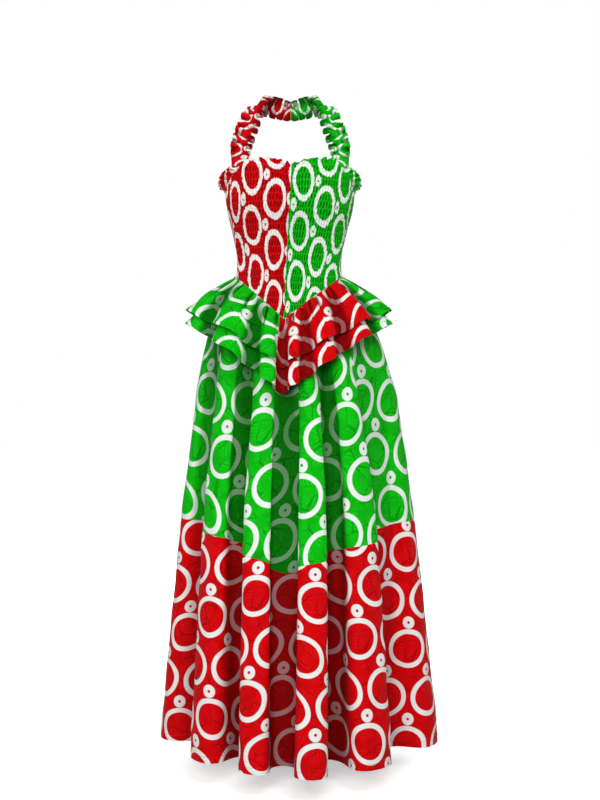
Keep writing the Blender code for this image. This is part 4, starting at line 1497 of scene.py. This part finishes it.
@dataclass
class Skirt(SewnPiece):
    """A gathered skirt in two tiers, each a front and a back, that falls in deep folds.

    Each fold has gathers that fade down the cloth over gather_span, and fine ones over fine_span. The seam's
    tuck and the hem's turn are steps in the cloth. The print breaks at an early or late share of a valley.
    """

    thickness: float = 0.0020
    columns_per_fold: int = 52
    flare_blend: float = 0.12
    fold_growth: float = 0.85
    overhang: float = 0.11
    overhang_full: float = 0.45
    gathers: int = 3
    gather_depth: float = 0.007
    gather_span: tuple[float, float] = (0.04, 0.36)
    gather_rest: float = 0.28
    gather_shade: float = 0.55
    fine_gathers: int = 11
    fine_depth: float = 0.0022
    fine_span: tuple[float, float] = (0.02, 0.16)
    soft: float = 0.0022
    hem: float = 0.014
    hem_turn: float = 0.0005
    hem_edge: float = 0.0015
    seam_tuck: float = 0.0008
    seam_edge: float = 0.004
    row_shift: float = 0.037
    early_break: float = 0.27
    late_break: float = 0.73
    shade: float = 0.9

    def fold_values(self, place: np.ndarray) -> tuple[Fold, Fold, np.ndarray]:
        """The fold that each place is in, the one after it, and the share of the way between their ridges."""
        index = np.floor(place).astype(int)
        both = (np.array(FOLDS)[at % len(FOLDS)] + (at // len(FOLDS))[..., None] * np.array(WHOLE_TURN)
                for at in (index, index + 1))
        first, second = (Fold(*np.moveaxis(values, -1, 0)) for values in both)
        return first, second, place - index

    def surface(self, place: np.ndarray, distance: np.ndarray,
                height: np.ndarray) -> tuple[np.ndarray, np.ndarray]:
        """The outside of the skirt.

        Args:
            place: folds counted from the left side seam.
            distance: the length of cloth above each point.
            height: each point's height.

        Returns:
            The points, and the painted shade on each, from 0 to 1, deepest in valleys and gathers.
        """
        first, second, share = self.fold_values(place)
        down = np.maximum(distance, 0.0)
        top = between(first.ridge_top, first.valley_top, second.ridge_top, share)
        hem = between(first.ridge_hem, first.valley_hem, second.ridge_hem, share)
        width = mix(second.ridge_top - first.ridge_top, second.ridge_hem - first.ridge_hem, down)
        lean = self.overhang * width * ease(distance / self.overhang_full) * np.sin(2 * TURN * share)
        angle = np.radians(mix(top, hem, down) + lean)
        flare = ease(distance / self.flare_blend)[..., None]
        ring = mix(rings_at(TORSO, height), rings_at(SKIRT, height), flare)
        valley = swell(share)
        crest = mix(first.ridge_reach, second.ridge_reach, ease(share))
        folded = 1 + (mix(crest, first.valley_reach, valley) - 1) * down**self.fold_growth
        lasting = mix(1.0, self.gather_rest, ease(distance / self.gather_span[1]))
        gather = swell(self.gathers * share) * ease(distance / self.gather_span[0]) * lasting
        shift = 1.5 * (uneven(place, seed=3) - uneven(np.floor(place), seed=3)) / TURN
        fine = swell(self.fine_gathers * share + shift) * ease(distance / self.fine_span[0])
        fine = fine * (1 - ease(distance / self.fine_span[1]))
        soft = self.soft * uneven(place * 2.5, height * 5, seed=9) * ease(distance / 0.1)
        radius = reach(ring, angle) * folded - self.gather_depth * gather - self.fine_depth * fine + soft
        # Painted shade: darker deep in each valley, and in the gathers near the seam
        depth = first.shade * ease((valley - 0.22) / 0.50) * ease(down / 0.22)
        depth = depth + self.gather_shade * gather * (1 - ease(down / 0.6))
        return ring_point(ring, angle, radius, height), depth

    def grain_line(self, points: np.ndarray, window: tuple[int, int], anchor: PrintAnchor, aim: np.ndarray,
                   start: int, column: int) -> np.ndarray:
        """Follows the grain through a fold's ring, up and down the cloth.

        Args:
            points: the panel's points.
            window: the fold's first column and the one after its last.
            anchor: the ring.
            aim: the level direction that the grain keeps its place in.
            start: the ring's row.
            column: the ring's column.

        Returns:
            The column, with its fraction, at which the grain crosses each row.
        """
        mark = points[start, column]
        track = np.full(len(points), float(column))
        for rows in (range(start - 1, -1, -1), range(start + 1, len(points))):
            near = column
            for row in rows:
                beside = np.arange(max(near - 3, window[0]), min(near + 4, window[1]))
                off = (points[row, beside, :2] - mark[:2]) @ aim
                off = off - anchor.lean * (mark[2] - points[row, beside, 2])
                near = int(beside[np.argmin(np.abs(off))])
                track[row] = near
        height = points[:, column, 2]
        return np.polyval(np.polyfit(height, track, 3), height)

    def fold_print(self, panel: Panel, points: np.ndarray, places: np.ndarray, fold: int) -> np.ndarray:
        """The print's map over one fold, whose grain hangs upright or leans a little.

        Args:
            panel: which panel.
            points: the panel's points.
            places: the panel's places, in folds.
            fold: the number of the fold.

        Returns:
            The map at every column, of use on this fold.
        """
        last = len(places) - 1
        if fold < len(panel.anchors):
            anchor = panel.anchors[fold]
        else:
            anchor = PrintAnchor(0.0, float(points[..., 2].mean()) + self.row_shift * (fold % 3))
        column = int(np.argmin(np.abs(places - fold - anchor.share)))
        start = int(np.argmin(np.abs(points[:, column, 2] - anchor.height)))
        level = points[start, min(column + 1, last), :2] - points[start, max(column - 1, 0), :2]
        aim = np.array((1.0, 0.0)) if panel.anchors else unit(level)
        low, high = np.searchsorted(places, (fold - 0.5, fold + 0.5))
        track = self.grain_line(points, (low, min(high, last)), anchor, aim, start, column)
        arc = arc_along(points)
        grain = np.array([np.interp(at, np.arange(len(line)), line) for at, line in zip(track, arc)])
        across = arc - grain[:, None]
        rise = points[..., 2] / panel.stretch
        return place_of(across - across[start, column], rise - rise[start, column])

    def fold_of(self, place: float) -> int:
        """The fold whose print a place shows: the break lies on the flank of a valley that hides it."""
        valley = math.floor(place)
        angle = FOLDS[valley % len(FOLDS)].valley_hem
        early = 0 < angle < 90 or angle > 180
        return valley + (place - valley > (self.early_break if early else self.late_break))

    def print_of(self, panel: Panel, points: np.ndarray, places: np.ndarray) -> tuple[np.ndarray, np.ndarray]:
        """The print's map at the left and right edge of each column of faces.

        Args:
            panel: which panel.
            points: the panel's points.
            places: the panel's places, in folds.

        Returns:
            The maps at the left and right edges.
        """
        maps = {fold: self.fold_print(panel, points, places, fold)
                for fold in range(panel.first, panel.last + 1)}
        shown = [maps[self.fold_of(middle)] for middle in (places[:-1] + places[1:]) / 2]
        return (np.stack([fold_map[:, column] for column, fold_map in enumerate(shown)], 1),
                np.stack([fold_map[:, column + 1] for column, fold_map in enumerate(shown)], 1))

    def build_panel(self, panel: Panel) -> None:
        """Builds and hands in one panel."""
        columns = (panel.last - panel.first) * self.columns_per_fold + 1
        places = np.linspace(panel.first, panel.last, columns)
        # The last column belongs to the fold before its ridge
        inside = np.clip(places, panel.first, panel.last - 1e-9)
        place, down = np.meshgrid(inside, np.linspace(0, 1, panel.rows) ** panel.crowding)
        first, second, share = self.fold_values(place)
        seam = waist_height(np.radians(between(first.ridge_top, first.valley_top, second.ridge_top, share)))
        if panel.upper:
            distance = UPPER_TIER * down
        else:
            distance = UPPER_TIER + down * (seam - UPPER_TIER - HEM)
        points, depth = self.surface(place, distance, seam - distance)
        outward = facing(points)
        if panel.upper:
            tuck = -self.seam_tuck * ease((distance - UPPER_TIER + self.seam_edge) / self.seam_edge)
            points[0, :, 2] = waist_line(points[0, :, 0], panel.node.endswith("front")) - WAIST_GAP
        else:
            tuck = -self.seam_tuck * (1 - ease((distance - UPPER_TIER) / self.seam_edge))
            above_hem = seam - distance - HEM
            tuck = tuck + self.hem_turn * (1 - ease((above_hem - self.hem) / self.hem_edge))
        points = points + tuck[..., None] * outward
        trim_sides(points, points)
        points[-1 if panel.upper else 0, :, 2] += HALF_SEAM_GAP if panel.upper else -HALF_SEAM_GAP
        left, right = self.print_of(panel, points, places)
        wall = ClothWall(f"{panel.node}_cloth", points, left, right, self.thickness, self.shade * depth)
        if panel.upper:
            self.hand_in(wall, panel.node, panel.slot)
        else:
            lifted = wall.lifted()
            line = level_line(lifted, lifted[..., 2], HEM + self.hem)[1:-1]
            self.hand_in(wall, panel.node, panel.slot, "hem", [line], held="hung")

    def build(self) -> None:
        """Builds the four panels."""
        for panel in PANELS:
            self.build_panel(panel)
        LOG.info("skirt done")


# Studio


class Light(NamedTuple):
    """A soft square light: where it stands, its power in watts and its side."""

    name: str
    place: tuple[float, float, float]
    power: float
    size: float


LIGHTS = (
    Light("front_light", (-0.5, -4.2, 0.3), 135.0, 1.6),
    Light("top_front_light", (0.6, -3.2, 2.0), 48.0, 1.4),
    Light("back_light", (0.5, 4.0, 0.4), 135.0, 1.6),
    Light("left_light", (-4.0, 0.4, 0.2), 36.0, 1.6),
    Light("right_light", (4.0, 0.4, 0.2), 36.0, 1.6),
)


@dataclass
class Studio:
    """A pale floor, soft lights that face the middle of the dress, and the camera."""

    floor_height: float = -1.530
    floor_size: float = 40.0
    camera_place: tuple[float, float, float] = (0.0163, -3.065, -0.684)
    lens: float = 58.06
    sensor: float = 36.0
    far: float = 100.0
    middle: tuple[float, float, float] = (0.0, AXIS_Y, -0.75)
    ambient: float = 0.20
    backdrop: float = 1.0

    def floor(self) -> None:
        """Lays the floor."""
        half = self.floor_size / 2
        mesh = bpy.data.meshes.new("studio_floor")
        corners = [(-half, -half), (half, -half), (half, half), (-half, half)]
        mesh.from_pydata([(x, y, self.floor_height) for x, y in corners], [], [(0, 1, 2, 3)])
        mesh.materials.append(PalePaper().make())
        floor = add_object("studio_floor", mesh)
        floor.visible_diffuse = False

    def camera(self) -> None:
        """Sets up the camera, level and facing the front."""
        data = bpy.data.cameras.new("front_camera")
        data.lens = self.lens
        data.sensor_width = self.sensor
        data.sensor_fit = "AUTO"
        data.clip_end = self.far
        camera = add_object("front_camera", data)
        camera.location = self.camera_place
        camera.rotation_euler = (QUARTER_TURN, 0.0, 0.0)
        bpy.context.scene.camera = camera

    def light(self, light: Light) -> None:
        """Adds a light."""
        data = bpy.data.lights.new(light.name, "AREA")
        data.energy = light.power
        data.size = light.size
        lamp = add_object(light.name, data)
        lamp.location = light.place
        aim = Vector(self.middle) - Vector(light.place)
        lamp.rotation_euler = aim.to_track_quat("-Z", "Y").to_euler()
        lamp.visible_camera = False

    def build(self) -> None:
        """Builds the studio, whose backdrop is brighter to the camera than to the dress."""
        world = bpy.data.worlds.new("studio")
        world.use_nodes = True
        nodes = Nodes(world.node_tree)
        seen = Term(nodes, nodes.add("ShaderNodeLightPath").outputs["Is Camera Ray"])
        background = world.node_tree.nodes["Background"]
        nodes.feed(background.inputs["Color"], WHITE)
        nodes.feed(background.inputs["Strength"], seen * (self.backdrop - self.ambient) + self.ambient)
        bpy.context.scene.world = world
        bpy.context.scene.view_settings.view_transform = "Standard"
        self.floor()
        self.camera()
        for light in LIGHTS:
            self.light(light)
        LOG.info("studio done")


def main() -> None:
    """Builds the dress, piece by piece, and the studio round it."""
    logging.basicConfig(level=logging.INFO, format="%(message)s")
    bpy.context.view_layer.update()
    wardrobe = Wardrobe()
    threads = ThreadWork()
    for part in (Bodice, Straps, ArmholeFrills, Peplum, Skirt):
        part(wardrobe, threads).build()
    Studio().build()


if __name__ == "__main__":
    main()
